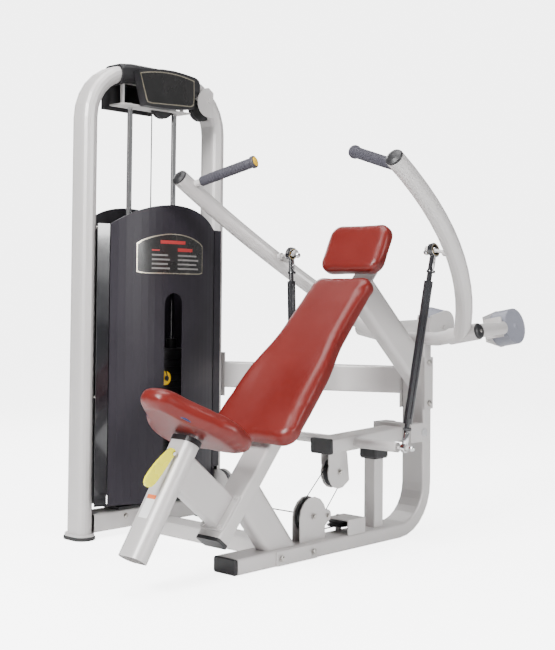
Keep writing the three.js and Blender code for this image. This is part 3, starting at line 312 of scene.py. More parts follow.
class Paint(Enum):
    """The finishes that the machine's pieces wear."""

    FRAME = Finish("frame_paint", (0.34, 0.323, 0.314), (0.365, 0.347, 0.338), (0.24, 0.32), metal=0.5,
        coat=0.35,
                   coat_rough=0.2, grain_scale=1400, bump=0.06, wear=0.1)
    LEATHER = Finish("brick_red_leatherette", (0.115, 0.0065, 0.004), (0.132, 0.0085, 0.0055),
        (0.30, 0.40), specular=0.35, coat=0.12,
                     coat_rough=0.3, tone_scale=5, grain_scale=420, grain_fine=0.25, bump=0.22,
                         depth=0.0005, wear=0.08)
    SHROUD = Finish("slate_sheet_paint", (0.016, 0.0135, 0.019), (0.019, 0.016, 0.0225), (0.36, 0.44),
        specular=0.25, coat=0.08,
                    coat_rough=0.3, grain_scale=1100, bump=0.08, wear=0.12)
    GLOSS = Finish("gloss_black_sheet", (0.006, 0.006, 0.008), (0.009, 0.009, 0.012), (0.10, 0.2), coat=0.8,
                   coat_rough=0.06, bump=0.05, wear=0.1)
    PLASTIC = Finish("moulded_black_plastic", (0.008, 0.008, 0.009), (0.013, 0.012, 0.014), (0.36, 0.46),
                     grain_scale=900, grain_fine=0.4, bump=0.2, depth=0.0003)
    PULLEY = Finish("black_nylon", (0.012, 0.012, 0.013), (0.020, 0.020, 0.022), (0.4, 0.5), bump=0.1)
    RUBBER = Finish("foot_rubber", (0.020, 0.020, 0.021), (0.035, 0.034, 0.034), (0.6, 0.75),
        grain_scale=500, bump=0.3)
    GRIP = Finish("ribbed_grip_rubber", (0.034, 0.032, 0.044), (0.042, 0.040, 0.053), (0.45, 0.6),
        grain_scale=800,
                  grain_fine=0.5, bump=0.25)
    CHROME = Finish("bright_chrome", (0.78, 0.78, 0.79), (0.70, 0.70, 0.72), (0.06, 0.14), metal=1.0,
                    grain_scale=600, bump=0.03)
    STEEL = Finish("plated_bolt_steel", (0.58, 0.56, 0.53), (0.48, 0.46, 0.44), (0.2, 0.34), metal=1.0,
        bump=0.1)
    BRASS = Finish("rod_end_brass", (0.62, 0.44, 0.18), (0.52, 0.36, 0.14), (0.2, 0.32), metal=1.0,
        bump=0.08)
    IRON = Finish("weight_plate_enamel", (0.010, 0.010, 0.011), (0.018, 0.018, 0.019), (0.42, 0.56),
        grain_scale=700,
                  bump=0.3, wear=0.3)
    ROD = Finish("gloss_black_rod", (0.012, 0.012, 0.014), (0.018, 0.018, 0.021), (0.16, 0.26), coat=0.6,
                 coat_rough=0.1, bump=0.04)
    WEIGHT = Finish("blue_grey_weight_paint", (0.20, 0.205, 0.245), (0.225, 0.23, 0.272), (0.34, 0.42),
        coat=0.2,
                    grain_scale=900, bump=0.15)
    YELLOW = Finish("golden_yellow_plastic", (0.86, 0.52, 0.004), (0.80, 0.47, 0.004), (0.28, 0.36),
        coat=0.3, bump=0.05)
    LEMON = Finish("lemon_dipped_lever", (0.86, 0.80, 0.004), (0.82, 0.76, 0.004), (0.22, 0.3), coat=0.4,
        bump=0.05)
    CABLE = Finish("cable_jacket", (0.010, 0.010, 0.011), (0.016, 0.016, 0.017), (0.3, 0.4), bump=0.05)
    PLATE = Finish("charcoal_name_plate", (0.009, 0.009, 0.009), (0.013, 0.012, 0.012), (0.22, 0.32),
        coat=0.5,
                   coat_rough=0.12, grain_scale=1500, bump=0.05)
    TRIM = Finish("pale_gold_trim", (0.62, 0.57, 0.46), (0.55, 0.50, 0.40), (0.2, 0.3), metal=0.9,
        bump=0.04)
    WHITE = Finish("white_sticker", (0.78, 0.78, 0.77), (0.74, 0.74, 0.73), (0.4, 0.5), bump=0.03, wear=0.1)
    ORANGE = Finish("orange_band", (0.72, 0.16, 0.04), (0.68, 0.14, 0.03), (0.4, 0.5), bump=0.03, wear=0.1)
    RED = Finish("red_print", (0.42, 0.03, 0.03), (0.38, 0.025, 0.025), (0.35, 0.45), bump=0.02, wear=0.0)
    PRINT = Finish("grey_print", (0.22, 0.21, 0.20), (0.18, 0.17, 0.17), (0.35, 0.45), bump=0.02, wear=0.0)
    NAVY = Finish("navy_seat_board", (0.010, 0.020, 0.085), (0.014, 0.026, 0.10), (0.4, 0.5), bump=0.1)


CAD_FINISHES: dict[Paint, tuple[str, ...]] = {
    Paint.FRAME: ("main_frame_tube", "pivot_cross_tube", "back_support_tube", "inclined_post_tube",
        "front_leg_tube",
                  "seat_arm_tube", "floor_cross_tube", "beam_clamp_plate", "brace_clamp_plate",
                      "mid_brace_tube",
                  "tower_arch_tube", "tower_base_tube", "seat_sleeve_tube", "press_lever", "arm_left",
                      "arm_right",
                  "corner_pulley_cover"),
    Paint.PLASTIC: ("main_frame_cap", "inclined_post_cap", "press_lever_cap", "bumper_block",
        "arm_cap_left",
                    "arm_cap_right", "seat_sleeve_collar", "head_cover"),
    Paint.PULLEY: ("head_pulley", "corner_pulley", "base_pulley", "turn_pulley", "lower_pulley",
        "lever_pulley"),
    Paint.RUBBER: ("tower_front_foot", "tower_rear_foot"),
    Paint.CHROME: ("guide_rod_front", "guide_rod_rear", "seat_post", "lever_pivot_pin"),
    Paint.ROD: ("link_rod_left", "link_rod_right"),
    Paint.SHROUD: ("shroud_front", "shroud_rear", "side_cover_rear"),
    Paint.GLOSS: ("side_cover_front",),
    Paint.IRON: ("stack_base", "lower_weight_plates", "lifted_weight_plates", "stack_top_plate"),
    Paint.WEIGHT: ("counterweight_left", "counterweight_right"),
    Paint.GRIP: ("grip_left", "grip_right"),
    Paint.YELLOW: ("selector_pin",),
    Paint.LEMON: ("seat_lever",),
    Paint.CABLE: ("cable_main_run", "cable_stack_run", "cable_lever_loop"),
    Paint.LEATHER: ("back_pad", "head_pad", "seat_pad"),
}


# ---- mesh tools ---------------------------------------------------------------------------------
def add_object(name: str, mesh: bmesh.types.BMesh, paint: Paint, smooth: float = 35.0) -> bpy.types.Object:
    """Turn a bmesh into a shown object.

    Args:
        name: The object's name.
        mesh: The finished bmesh, which is freed.
        paint: Its finish.
        smooth: Edges sharper than this many degrees stay sharp.

    Returns:
        The new object.
    """
    bmesh.ops.recalc_face_normals(mesh, faces=mesh.faces)
    data = bpy.data.meshes.new(name)
    mesh.to_mesh(data)
    mesh.free()
    data.materials.append(paint.value.material())
    data.shade_smooth()
    data.set_sharp_from_angle(angle=math.radians(smooth))
    made = bpy.data.objects.new(name, data)
    bpy.context.scene.collection.objects.link(made)
    return made


def turned(name: str, profile: Profile, at: Vector, along: Vector, paint: Paint,
        sides: int = 32) -> bpy.types.Object:
    """A turned piece.

    Args:
        name: The object's name.
        profile: Radius and height pairs in millimetres, from one end to the other.
        at: Where height 0 lies.
        along: The direction of the piece's axis.
        paint: Its finish.
        sides: Facets round it.

    Returns:
        The new object.
    """
    mesh = bmesh.new()
    rings = []
    for radius, height in profile:
        turn = [2 * math.pi * k / sides for k in range(sides)]
        rings.append([mesh.verts.new((radius / 1000 * math.cos(a), radius / 1000 * math.sin(a),
            height / 1000)) for a in turn])
    for first, second in zip(rings, rings[1:]):
        for k in range(sides):
            mesh.faces.new((first[k], first[(k + 1) % sides], second[(k + 1) % sides], second[k]))
    mesh.faces.new(list(reversed(rings[0])))
    mesh.faces.new(rings[-1])
    bmesh.ops.remove_doubles(mesh, verts=mesh.verts, dist=1e-6)
    turn_to = Vector(along).to_track_quat("Z", "Y").to_matrix().to_4x4()
    mesh.transform(Matrix.Translation(at) @ turn_to)
    return add_object(name, mesh, paint)


def prism(name: str, outline: list[Vector], push: Vector, paint: Paint,
        bevel: float = 0.0006) -> bpy.types.Object:
    """A flat plate with softened edges.

    Args:
        name: The object's name.
        outline: Corner points in order.
        push: The plate's thickness, as a vector.
        paint: Its finish.
        bevel: Edge softening in metres.

    Returns:
        The new object.
    """
    mesh = bmesh.new()
    face = mesh.faces.new([mesh.verts.new(point) for point in outline])
    extruded = bmesh.ops.extrude_face_region(mesh, geom=[face])
    bmesh.ops.translate(mesh, verts=[item for item in extruded["geom"] if isinstance(item,
        bmesh.types.BMVert)], vec=push)
    bmesh.ops.recalc_face_normals(mesh, faces=mesh.faces)
    sharp = [edge for edge in mesh.edges if edge.calc_face_angle(0) > 0.6]
    bmesh.ops.bevel(mesh, geom=sharp, offset=bevel, segments=2, affect="EDGES", clamp_overlap=True)
    return add_object(name, mesh, paint)


def cable(name: str, points: list[Vector], radius: float, paint: Paint,
        sides: int = 12) -> bpy.types.Object:
    """A round cable through points.

    Args:
        name: The object's name.
        points: Its route.
        radius: Its radius in metres.
        paint: Its finish.
        sides: Facets round it.

    Returns:
        The new mesh object.
    """
    mesh = bmesh.new()
    rings = []
    side = None
    for index, point in enumerate(points):
        ahead = points[min(index + 1, len(points) - 1)] - points[max(index - 1, 0)]
        ahead.normalize()
        side = (side - ahead * side.dot(ahead)).normalized() if side else ahead.orthogonal().normalized()
        other = ahead.cross(side)
        turn = [2 * math.pi * k / sides for k in range(sides)]
        spokes = [side * math.cos(a) + other * math.sin(a) for a in turn]
        rings.append([mesh.verts.new(point + spoke * radius) for spoke in spokes])
    for first, second in zip(rings, rings[1:]):
        for k in range(sides):
            mesh.faces.new((first[k], first[(k + 1) % sides], second[(k + 1) % sides], second[k]))
    mesh.faces.new(list(reversed(rings[0])))
    mesh.faces.new(rings[-1])
    return add_object(name, mesh, paint)


def hex_bolt(name: str, at: Vector, out: Vector, body: str, size: float = 7.5) -> None:
    """A hex head with a washer, standing on a face and riding on a body."""
    washer = turned(f"{name}_washer", [(0, 0), (size * 1.35, 0), (size * 1.35, 1.4), (0, 1.4)], at, out,
        Paint.STEEL, 24)
    head = turned(f"{name}_head", [(0, 1.2), (size, 1.2), (size, 5.2), (size * 0.8, 6.2), (0, 6.2)], at,
        out, Paint.STEEL, 6)
    for piece in (washer, head):
        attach(piece, body)


# ---- studio -------------------------------------------------------------------------------------
@dataclass
class Studio:
    """The camera, the floor and the lights."""

    eye: tuple[float, float, float] = (2655.2, -3504.8, 857.7)
    turn: float = 42.703
    rise: float = 1.822
    roll: float = 0.508
    lens: float = 65.34
    shift: tuple[float, float] = (-0.0326, -0.1006)
    fill: float = 0.30
    backdrop: float = 5.0

    def build(self) -> None:
        """Set everything up."""
        self._camera()
        self._floor()
        self._lights()

    def _camera(self) -> None:
        """Place the camera."""
        turn, rise, roll = (math.radians(value) for value in (self.turn, self.rise, self.roll))
        ahead = Vector((-math.sin(turn) * math.cos(rise), math.cos(turn) * math.cos(rise), math.sin(rise)))
        right = Vector((math.cos(turn), math.sin(turn), 0))
        above = right.cross(ahead)
        side = right * math.cos(roll) + above * math.sin(roll)
        top = above * math.cos(roll) - right * math.sin(roll)
        data = bpy.data.cameras.new("camera")
        data.lens = self.lens
        data.shift_x, data.shift_y = self.shift
        camera = bpy.data.objects.new("camera", data)
        camera.matrix_world = Matrix.Translation(machine_point(*self.eye)) @ Matrix((side, top,
            -ahead)).transposed().to_4x4()
        bpy.context.scene.collection.objects.link(camera)
        bpy.context.scene.camera = camera

    def _floor(self) -> None:
        """Lay a wide pale floor."""
        mesh = bmesh.new()
        bmesh.ops.create_grid(mesh, x_segments=1, y_segments=1, size=30)
        mesh.transform(Matrix.Translation((0, 0, -0.0005)))
        floor = add_object("studio_floor", mesh, Paint.WHITE)
        material = bpy.data.materials.new("studio_floor_white")
        material.use_nodes = True
        shader = material.node_tree.nodes["Principled BSDF"]
        shader.inputs["Base Color"].default_value = (0.93, 0.93, 0.93, 1)
        shader.inputs["Roughness"].default_value = 0.9
        shader.inputs["Specular IOR Level"].default_value = 0.0
        shader.inputs["Emission Color"].default_value = (1, 1, 1, 1)
        tree = Tree(material.node_tree)
        seen = tree.add("ShaderNodeMath", operation="MULTIPLY")
        seen.inputs[1].default_value = self.backdrop - 0.9 * self.fill
        tree.link(tree.add("ShaderNodeLightPath").outputs["Is Camera Ray"], seen.inputs[0])
        tree.link(seen.outputs["Value"], shader.inputs["Emission Strength"])
        floor.data.materials[0] = material

    def _lights(self) -> None:
        """Hang soft boxes round the machine under an even sky."""
        world = bpy.data.worlds.new("studio_sky")
        world.use_nodes = True
        tree = Tree(world.node_tree)
        backdrop = world.node_tree.nodes["Background"]
        backdrop.inputs["Color"].default_value = (1, 1, 1, 1)
        seen = tree.add("ShaderNodeMapRange", To_Min=self.fill, To_Max=self.backdrop)
        tree.link(tree.add("ShaderNodeLightPath").outputs["Is Camera Ray"], seen.inputs["Value"])
        tree.link(seen.outputs["Result"], backdrop.inputs["Strength"])
        bpy.context.scene.world = world
        for name, at, size, power in (("key", (0.4, -3.9, 3.0), 1.2, 330),
            ("side", (4.2, 0.2, 1.8), 1.0, 120),
                                      ("rim", (-3.2, 1.6, 2.8), 2.0, 80), ("overhead", (0.0, -0.6, 4.6),
                                          3.0, 190)):
            data = bpy.data.lights.new(name, "AREA")
            data.size = size
            data.energy = power
            lamp = bpy.data.objects.new(name, data)
            lamp.location = at
            lamp.rotation_euler = (Vector((0, 0, 0.8)) - Vector(at)).to_track_quat("-Z", "Y").to_euler()
            bpy.context.scene.collection.objects.link(lamp)


# ---- soft goods ---------------------------------------------------------------------------------
@dataclass
class Pad:
    """A stuffed pad that is blown up from its own solid and replaces it."""

    node: str
    body: str
    tilt: float
    swell: float = 0.008
    shrink: float = 0.004
    voxel: float = 0.006
    dish: tuple[tuple[float, float, float, float, float], ...] = ()

    def build(self) -> bpy.types.Object:
        pad = self._start()
        self._inflate(pad)
        self._sculpt(pad)
        self._smooth(pad)
        pad.data.materials.clear()
        pad.data.materials.append(Paint.LEATHER.value.material())
        pad.data.shade_smooth()
        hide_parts(self.node)
        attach(pad, self.body)
        LOG.info("pad %s with %d points", pad.name, len(pad.data.vertices))
        return pad

    def _apply(self, pad: bpy.types.Object) -> None:
        """Turn the pad's modifiers into plain mesh."""
        shape = bpy.data.meshes.new_from_object(pad.evaluated_get(bpy.context.evaluated_depsgraph_get()))
        pad.modifiers.clear()
        pad.data = shape

    def _start(self) -> bpy.types.Object:
        """A remeshed copy of the solid, pulled in a little all round."""
        source = frame["nodes"][self.node]
        pad = bpy.data.objects.new(f"{self.node}_cover", source.data.copy())
        bpy.context.scene.collection.objects.link(pad)
        remesh = pad.modifiers.new("remesh", "REMESH")
        remesh.mode = "VOXEL"
        remesh.voxel_size = self.voxel
        self._apply(pad)
        pad.data.update()
        for vertex, normal in zip(pad.data.vertices, [Vector(v.normal) for v in pad.data.vertices]):
            vertex.co -= normal * self.shrink
        return pad

    def _inflate(self, pad: bpy.types.Object) -> None:
        """Blow the pad up as cloth under pressure, moving no point further than the swell."""
        start = np.array([v.co for v in pad.data.vertices])
        cloth = pad.modifiers.new("stuffing", "CLOTH")
        cloth.settings.use_pressure = True
        cloth.settings.uniform_pressure_force = 4
        cloth.settings.effector_weights.gravity = 0
        cloth.settings.quality = 4
        cloth.point_cache.frame_start = 1
        cloth.point_cache.frame_end = 20
        for step in range(1, 21):
            bpy.context.scene.frame_set(step)
        self._apply(pad)
        bpy.context.scene.frame_set(1)
        moved = np.array([v.co for v in pad.data.vertices]) - start
        reach = np.linalg.norm(moved, axis=1, keepdims=True)
        capped = start + moved * np.minimum(1, self.swell / np.maximum(reach, 1e-9))
        pad.data.vertices.foreach_set("co", capped.astype(np.float32).ravel())

    def _sculpt(self, pad: bpy.types.Object) -> None:
        """Press hollows and raise swellings, each at a place across and along the pad's front."""
        low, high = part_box(self.node)
        middle = (low + high) / 2
        tilt = math.radians(self.tilt)
        along = Vector((0, math.cos(tilt), math.sin(tilt)))
        front = Vector((0, -math.sin(tilt), math.cos(tilt)))
        for vertex in pad.data.vertices:
            offset = vertex.co - middle
            facing = max(0.0, min(1.0, (offset.dot(front) + 0.005) / 0.02))
            for across, up, wide, tall, height in self.dish:
                near = ((abs(offset.x) - across) / wide) ** 2 + ((offset.dot(along) - up) / tall) ** 2
                vertex.co += front * height * math.exp(-near) * facing
        pad.data.update()

    def _smooth(self, pad: bpy.types.Object) -> None:
        """Relax the surface and subdivide it once."""
        relax = pad.modifiers.new("relax", "SMOOTH")
        relax.factor = 0.5
        relax.iterations = 14
        finer = pad.modifiers.new("finer", "SUBSURF")
        finer.levels = finer.render_levels = 1
        self._apply(pad)


@dataclass
class Upholstery:
    """The three pads."""

    pads: list[Pad] = field(default_factory=lambda: [
        Pad("back_pad", "frame", 46.8, dish=((0.0, -0.17, 0.085, 0.17, -0.010), (0.135, -0.12, 0.03, 0.11,
            0.006))),
        Pad("head_pad", "frame", 64.2, swell=0.004, dish=((0.0, 0.0, 0.10, 0.06, -0.003),)),
        Pad("seat_pad", "seat", -32.0, swell=0.012, shrink=0.002, dish=((0.0, 0.04, 0.10, 0.08, -0.006),)),
    ])

    def build(self) -> None:
        """Make the pads."""
        for pad in self.pads:
            pad.build()


# ---- weight tower -------------------------------------------------------------------------------
@dataclass
class WeightTower:
    """Plates, placard, bolts and the pin's lanyard on the weight tower."""

    middle: tuple[float, float] = (-746.0, -637.0)
    bow: float = 58.0
    half: float = 250.0
    edge: float = 78.0

    def build(self) -> None:
        """Dress the tower."""
        self._name_plate()
        self._placard()
        self._bolts()
        self._lanyard()

    def _surface(self, across: float, height: float, proud: float) -> Vector:
        """A point on the bowed panel, across from its middle, at a height, standing proud of it."""
        radius = (self.half**2 + self.bow**2) / (2 * self.bow)
        depth = self.edge + self.bow - radius + math.sqrt((radius + proud) ** 2 - across**2)
        return machine_point(self.middle[0] + depth, self.middle[1] + across, height)

    def _bowed(self, name: str, left: float, right: float, low: float, high: float, crown: float,
            proud: float,
               paint: Paint, body: str = "frame") -> None:
        """A thin plate that follows the bowed panel, with an arched top.

        Args:
            name: The piece's name.
            left: Its left edge across the panel, in millimetres.
            right: Its right edge.
            low: Its bottom edge's height.
            high: Its shoulders' height.
            crown: How far its top rises above its shoulders at the middle.
            proud: How far its face stands off the panel.
            paint: Its finish.
            body: The body it rides on.
        """
        mesh = bmesh.new()
        columns = 18
        rows = []
        for k in range(columns + 1):
            across = left + (right - left) * k / columns
            arch = crown * (1 - ((across - (left + right) / 2) / ((right - left) / 2)) ** 2)
            edge = min(1.0, 6 * min(k, columns - k) / columns)
            corner = 5 * (1 - math.sqrt(1 - (1 - edge) ** 2)) if crown or high - low > 30 else 0
            heights = (low + corner, high + arch - corner)
            rows.append([[mesh.verts.new(self._surface(across, z,
                depth)) for z in heights] for depth in (proud - 0.9, proud)])
        for first, second in zip(rows, rows[1:]):
            mesh.faces.new((first[1][0], second[1][0], second[1][1], first[1][1]))
            mesh.faces.new((first[0][0], first[0][1], second[0][1], second[0][0]))
            mesh.faces.new((first[0][0], second[0][0], second[1][0], first[1][0]))
            mesh.faces.new((first[0][1], first[1][1], second[1][1], second[0][1]))
        for column in (rows[0], rows[-1]):
            mesh.faces.new((column[0][0], column[1][0], column[1][1], column[0][1]))
        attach(add_object(name, mesh, paint), body)

    def _placard(self) -> None:
        """A blank instruction placard: border, field and rows of plain bars."""
        self._bowed("placard_border", -161, 157, 938, 1052, 34, 1.2, Paint.TRIM)
        self._bowed("placard_field", -157, 153, 942, 1048, 34, 1.6, Paint.PLATE)
        self._bowed("placard_title_bar", -66, 52, 1048, 1060, 0, 2.0, Paint.RED)
        for row in range(4):
            low = 955 + row * 16
            self._bowed(f"placard_left_bar_{row}", -102, -24 - 9 * (row % 2), low, low + 6, 0, 2.0,
                Paint.PRINT)
            self._bowed(f"placard_right_bar_{row}", 14, 128 - 12 * (row % 2), low, low + 6, 0, 2.0,
                Paint.PRINT)
        self._bowed("placard_left_head", -102, -70, 1021, 1026, 0, 2.0, Paint.RED)
        self._bowed("placard_right_head", 14, 92, 1021, 1033, 0, 2.0, Paint.RED)

    def _name_plate(self) -> None:
        """A blank plate with a thin bright border on the head cover."""
        for name, grow, proud, paint in (("name_plate_border", 0.0, 1.2, Paint.TRIM),
            ("name_plate_field", 4.0, 2.0, Paint.PLATE)):
            outline = []
            for k in range(9):
                t = k / 8
                outline.append((-773 + grow + (264 - 2 * grow) * t,
                    1668 - grow + 5 * t + 15 * (1 - (2 * t - 1) ** 2)))
            outline += [(-508 - grow, 1600), (-511 - grow, 1578 + grow), (-524 - grow, 1571 + grow),
                (-722 + grow, 1561 + grow),
                        (-738 + grow, 1564 + grow), (-744 + grow, 1576 + grow)]
            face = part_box("head_cover")[1].x
            points = [Vector((face, machine_point(0, y, 0).y, z / 1000)) for y, z in outline]
            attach(prism(name, points, Vector((proud / 1000, 0, 0)), paint, 0.0004), "frame")

    def _bolts(self) -> None:
        """Small screws on the uprights and the base."""
        for index, (y, z) in enumerate([(-924, 1098), (-350, 1098), (-924, 500), (-350, 640)]):
            at = machine_point(-697.5, y, z)
            screw = turned(f"upright_screw_{index}", [(0, -3), (5, -3), (5, 1), (3.4, 2.6), (0, 3)], at,
                Vector((1, 0, 0)), Paint.STEEL, 16)
            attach(screw, "frame")
        hex_bolt("base_bolt", machine_point(-699, -777, 66), Vector((1, 0, 0)), "frame")

    def _lanyard(self) -> None:
        """A short black cord looped on the selector pin's knob."""
        low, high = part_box("selector_pin")
        centre = Vector((high.x + 0.001, (low.y + high.y) / 2, (low.z + high.z) / 2))
        points = []
        for k in range(19):
            t = k / 18
            points.append(centre + Vector((0.010 * math.sin(math.pi * t), -0.018 + 0.022 * t,
                0.034 - 0.042 * t + 0.006 * math.sin(6 * t))))
        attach(cable("pin_lanyard", points, 0.0022, Paint.CABLE, 10), "selector")
        boss = turned("pin_boss", [(0, -2), (9, -2), (9, 3), (6, 6), (0, 6.5)], centre, Vector((1, 0, 0)),
            Paint.PLASTIC, 24)
        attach(boss, "selector")


@dataclass
class FrameBolts:
    """Bright bolts through the pulley cheeks and the clamp plates."""

    clamps: tuple[tuple[float, float, float], ...] = ((58.5, -756, 25), (58.5, -603, 25), (58.5, 25, 473),
        (58.5, 25, 621))

    def build(self) -> None:
        """Place every bolt on its own node's outer face."""
        for index, (x, y, z) in enumerate(self.clamps):
            hex_bolt(f"clamp_bolt_{index}", machine_point(x, y, z), Vector((1, 0, 0)), "frame", 8.5)
        for name, node, body in (("lower", "lower_pulley", "frame"), ("lever", "lever_pulley", "lever")):
            low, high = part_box(node)
            middle = (low + high) / 2
            hex_bolt(f"{name}_axle_bolt", Vector((machine_point(22.6, 0, 0).x, middle.y, middle.z)),
                     Vector((1, 0, 0)), body, 7.5)
        hex_bolt("anchor_bolt", machine_point(22.6, -494, 124), Vector((1, 0, 0)), "frame", 6.5)


# ---- arms and rods ------------------------------------------------------------------------------
@dataclass
class PressArms:
    """Grips, hub bolts and counterweight fittings on both arms."""

    ridges: int = 16

    def build(self) -> None:
        """Dress both arms."""
        for side, label in ((1, "left"), (-1, "right")):
            self._grip(label)
            self._hub(side, label)
            self._weight(side, label)

    def _grip(self, label: str) -> None:
        """A ribbed sleeve with a bright end disc in place of the plain grip."""
        low, high = long_axis(f"grip_{label}")
        along = high - low
        length = along.length * 1000
        profile: Profile = [(0, 0), (16.5, 0), (17.8, 2)]
        start, pitch = 34.0, (length - 62) / self.ridges
        profile.append((17.8, start))
        for k in range(self.ridges):
            base = start + k * pitch
            profile += [(16.4, base + 0.12 * pitch), (16.4, base + 0.38 * pitch),
                (18.4, base + 0.55 * pitch), (18.4, base + 0.9 * pitch)]
        profile += [(17.6, length - 17), (22, length - 13), (22.4, length - 6), (21.2, length - 1.5),
            (18.6, length), (0, length)]
        body = f"press_arm_{label}"
        grip = turned(f"grip_sleeve_{label}", profile, low, along, Paint.GRIP, 40)
        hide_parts(f"grip_{label}")
        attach(grip, body)
        disc = turned(f"grip_disc_{label}", [(0, -1), (17.2, -1), (17.2, 0.9), (15.5, 1.8), (0, 2.2)],
            high, along, Paint.YELLOW, 32)
        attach(disc, body)

    def _hub(self, side: int, label: str) -> None:
        """A black domed cover with a bolt on the outer end of the hub."""
        pivot = joint(f"arm_pivot_{label}")
        along = -Vector(pivot["axis"]) * side
        end = Vector(pivot["pos_m"]) + along * 0.190
        cover = turned(f"hub_cover_{label}", [(0, -11), (28.2, -11), (28.2, -7), (26, -3.4), (18, 0.4),
            (0, 1.6)], end, along, Paint.PLASTIC, 36)
        bolt = turned(f"hub_bolt_{label}", [(0, 0), (6.4, 0), (6.4, 3.4), (5, 4.6), (0, 4.8)], end, along,
            Paint.STEEL, 6)
        for piece in (cover, bolt):
            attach(piece, f"press_arm_{label}")

    def _weight(self, side: int, label: str) -> None:
        """A rim bead and a centre boss on the counterweight's outer face."""
        low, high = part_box(f"counterweight_{label}")
        along = -Vector(joint(f"arm_pivot_{label}")["axis"]) * side
        out = (low + high) / 2 + along * 0.036
        boss = turned(f"counterweight_boss_{label}", [(0, -1), (11, -1), (11, 1.2), (9, 2.6), (0, 3)],
            out, along, Paint.WEIGHT, 28)
        ring = turned(f"counterweight_ring_{label}", [(60, -1), (62, 0.8), (65, 0.8), (67, -1)], out,
            along, Paint.WEIGHT, 48)
        for piece in (boss, ring):
            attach(piece, f"press_arm_{label}")


@dataclass
class LinkRods:
    """Rod ends, brass rings, nuts and flutes on both link rods."""

    flute_from: float = 0.16
    flute_to: float = 0.80

    def build(self) -> None:
        """Dress both rods."""
        for side, label in ((1, "left"), (-1, "right")):
            low, high = long_axis(f"link_rod_{label}")
            along = (high - low).normalized()
            self._ends(side, label, low + along * 0.013, high - along * 0.024, along)
            self._flutes(label, low, high)

    def _ends(self, side: int, label: str, low: Vector, high: Vector, along: Vector) -> None:
        """The ball ends at both joints and the necks next to them."""
        tilt = math.radians(10.5)
        for place, at, push, body in (("lower", low, 1, f"rod_{label}"),
            ("upper", high, -1, f"rod_{label}")):
            across = Vector((1, 0, 0)) if place == "lower" else Vector((math.cos(tilt), 0,
                side * math.sin(tilt)))
            inner, outer, half = (7.0, 16.0, 8.5) if place == "lower" else (17.1, 24.3, 7.1)
            ring = turned(f"rod_eye_{place}_{label}", [(inner, -half), (outer - 2, -half), (outer,
                2 - half), (outer, half - 2), (outer - 2, half), (inner, half), (inner, -half)],
                          at, across, Paint.CHROME, 32)
            brass = turned(f"rod_liner_{place}_{label}", [(inner - 0.1, -half - 0.3), (inner + 2,
                -half - 0.3), (inner + 2, half + 0.3), (inner - 0.1, half + 0.3),
                                                             (inner - 0.1, -half - 0.3)],
                           at, across, Paint.BRASS, 28)
            neck = turned(f"rod_neck_{place}_{label}", [(0, outer - 3), (9.6, outer - 3), (10.4,
                outer + 6), (10.4, outer + 34), (9.4, outer + 36),
                                                        (9.4, outer + 40), (0, outer + 40)], at,
                                                            along * push, Paint.CHROME, 24)
            disc = turned(f"rod_disc_{place}_{label}", [(0, outer + 42), (13.5, outer + 42), (14.5,
                outer + 44), (14.5, outer + 50), (12, outer + 52),
                                                        (0, outer + 52)], at, along * push, Paint.ROD, 28)
            for piece in (ring, brass, neck, disc):
                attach(piece, body)
            if place == "upper":
                ball = [(12 * math.sin(math.pi * k / 12),
                    -12 * math.cos(math.pi * k / 12)) for k in range(1, 12)]
                stem = turned(f"arm_stud_ball_{label}", ball, at, across, Paint.CHROME, 28)
                dome = turned(f"arm_stud_nut_{label}", [(0, 24), (10.4, 24), (10.4, 33), (7.6, 38.5),
                    (3.5, 41.5), (0, 42)], at,
                              across * -side, Paint.CHROME, 24)
                for piece in (stem, dome):
                    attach(piece, f"press_arm_{label}")
        nut = turned(f"lower_dome_nut_{label}", [(0, -1), (9.6, -1), (9.6, 6), (7.6, 11), (4, 14.2), (0,
            15)], low + Vector((side * 0.0265, 0, 0)),
                     Vector((side, 0, 0)), Paint.CHROME, 24)
        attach(nut, "lever")

    def _flutes(self, label: str, low: Vector, high: Vector) -> None:
        """Two raised rails along each rod's face, which leave a groove between them."""
        along = (high - low).normalized()
        toward_front = Vector((0.62, -0.78, 0))
        out = (toward_front - along * toward_front.dot(along)).normalized()
        across = along.cross(out)
        for index, shift in enumerate((-0.0062, 0.0062)):
            points = []
            for k in range(13):
                t = self.flute_from + (self.flute_to - self.flute_from) * k / 12
                points.append(low.lerp(high, t) + out * 0.0128 + across * shift)
            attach(cable(f"rod_rail_{index}_{label}", points, 0.0046, Paint.ROD, 14), f"rod_{label}")


# ---- cables and release lever -------------------------------------------------------------------
@dataclass
class Cables:
    """The cable over the stack and the loop at the lever's pulley, which move on the machine but are built
    here in one fixed shape.
    """

    radius: float = 0.0024

    def build(self) -> None:
        """Make both cables."""
        self._stack()
        self._loop()

    def _stack(self) -> None:
        """The run from the stack up to the head pulley, built straight at one length and riding on the
        frame; on the machine it shortens as the stack rises.
        """
        low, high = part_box("cable_stack_run")
        middle = (low + high) / 2
        points = [Vector((middle.x, middle.y, low.z + (high.z - low.z) * k / 24)) for k in range(25)]
        run = cable("stack_cable", points, self.radius, Paint.CABLE)
        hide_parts("cable_stack_run")
        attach(run, "frame")
        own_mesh(run)

    def _loop(self) -> None:
        """The loop from the lower pulley over the lever's pulley to its anchor."""
        source = frame["nodes"]["cable_lever_loop"]
        loop = bpy.data.objects.new("lever_cable", source.data.copy())
        bpy.context.scene.collection.objects.link(loop)
        loop.data.materials.clear()
        loop.data.materials.append(Paint.CABLE.value.material())
        loop.data.shade_smooth()
        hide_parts("cable_lever_loop")
        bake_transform(loop)


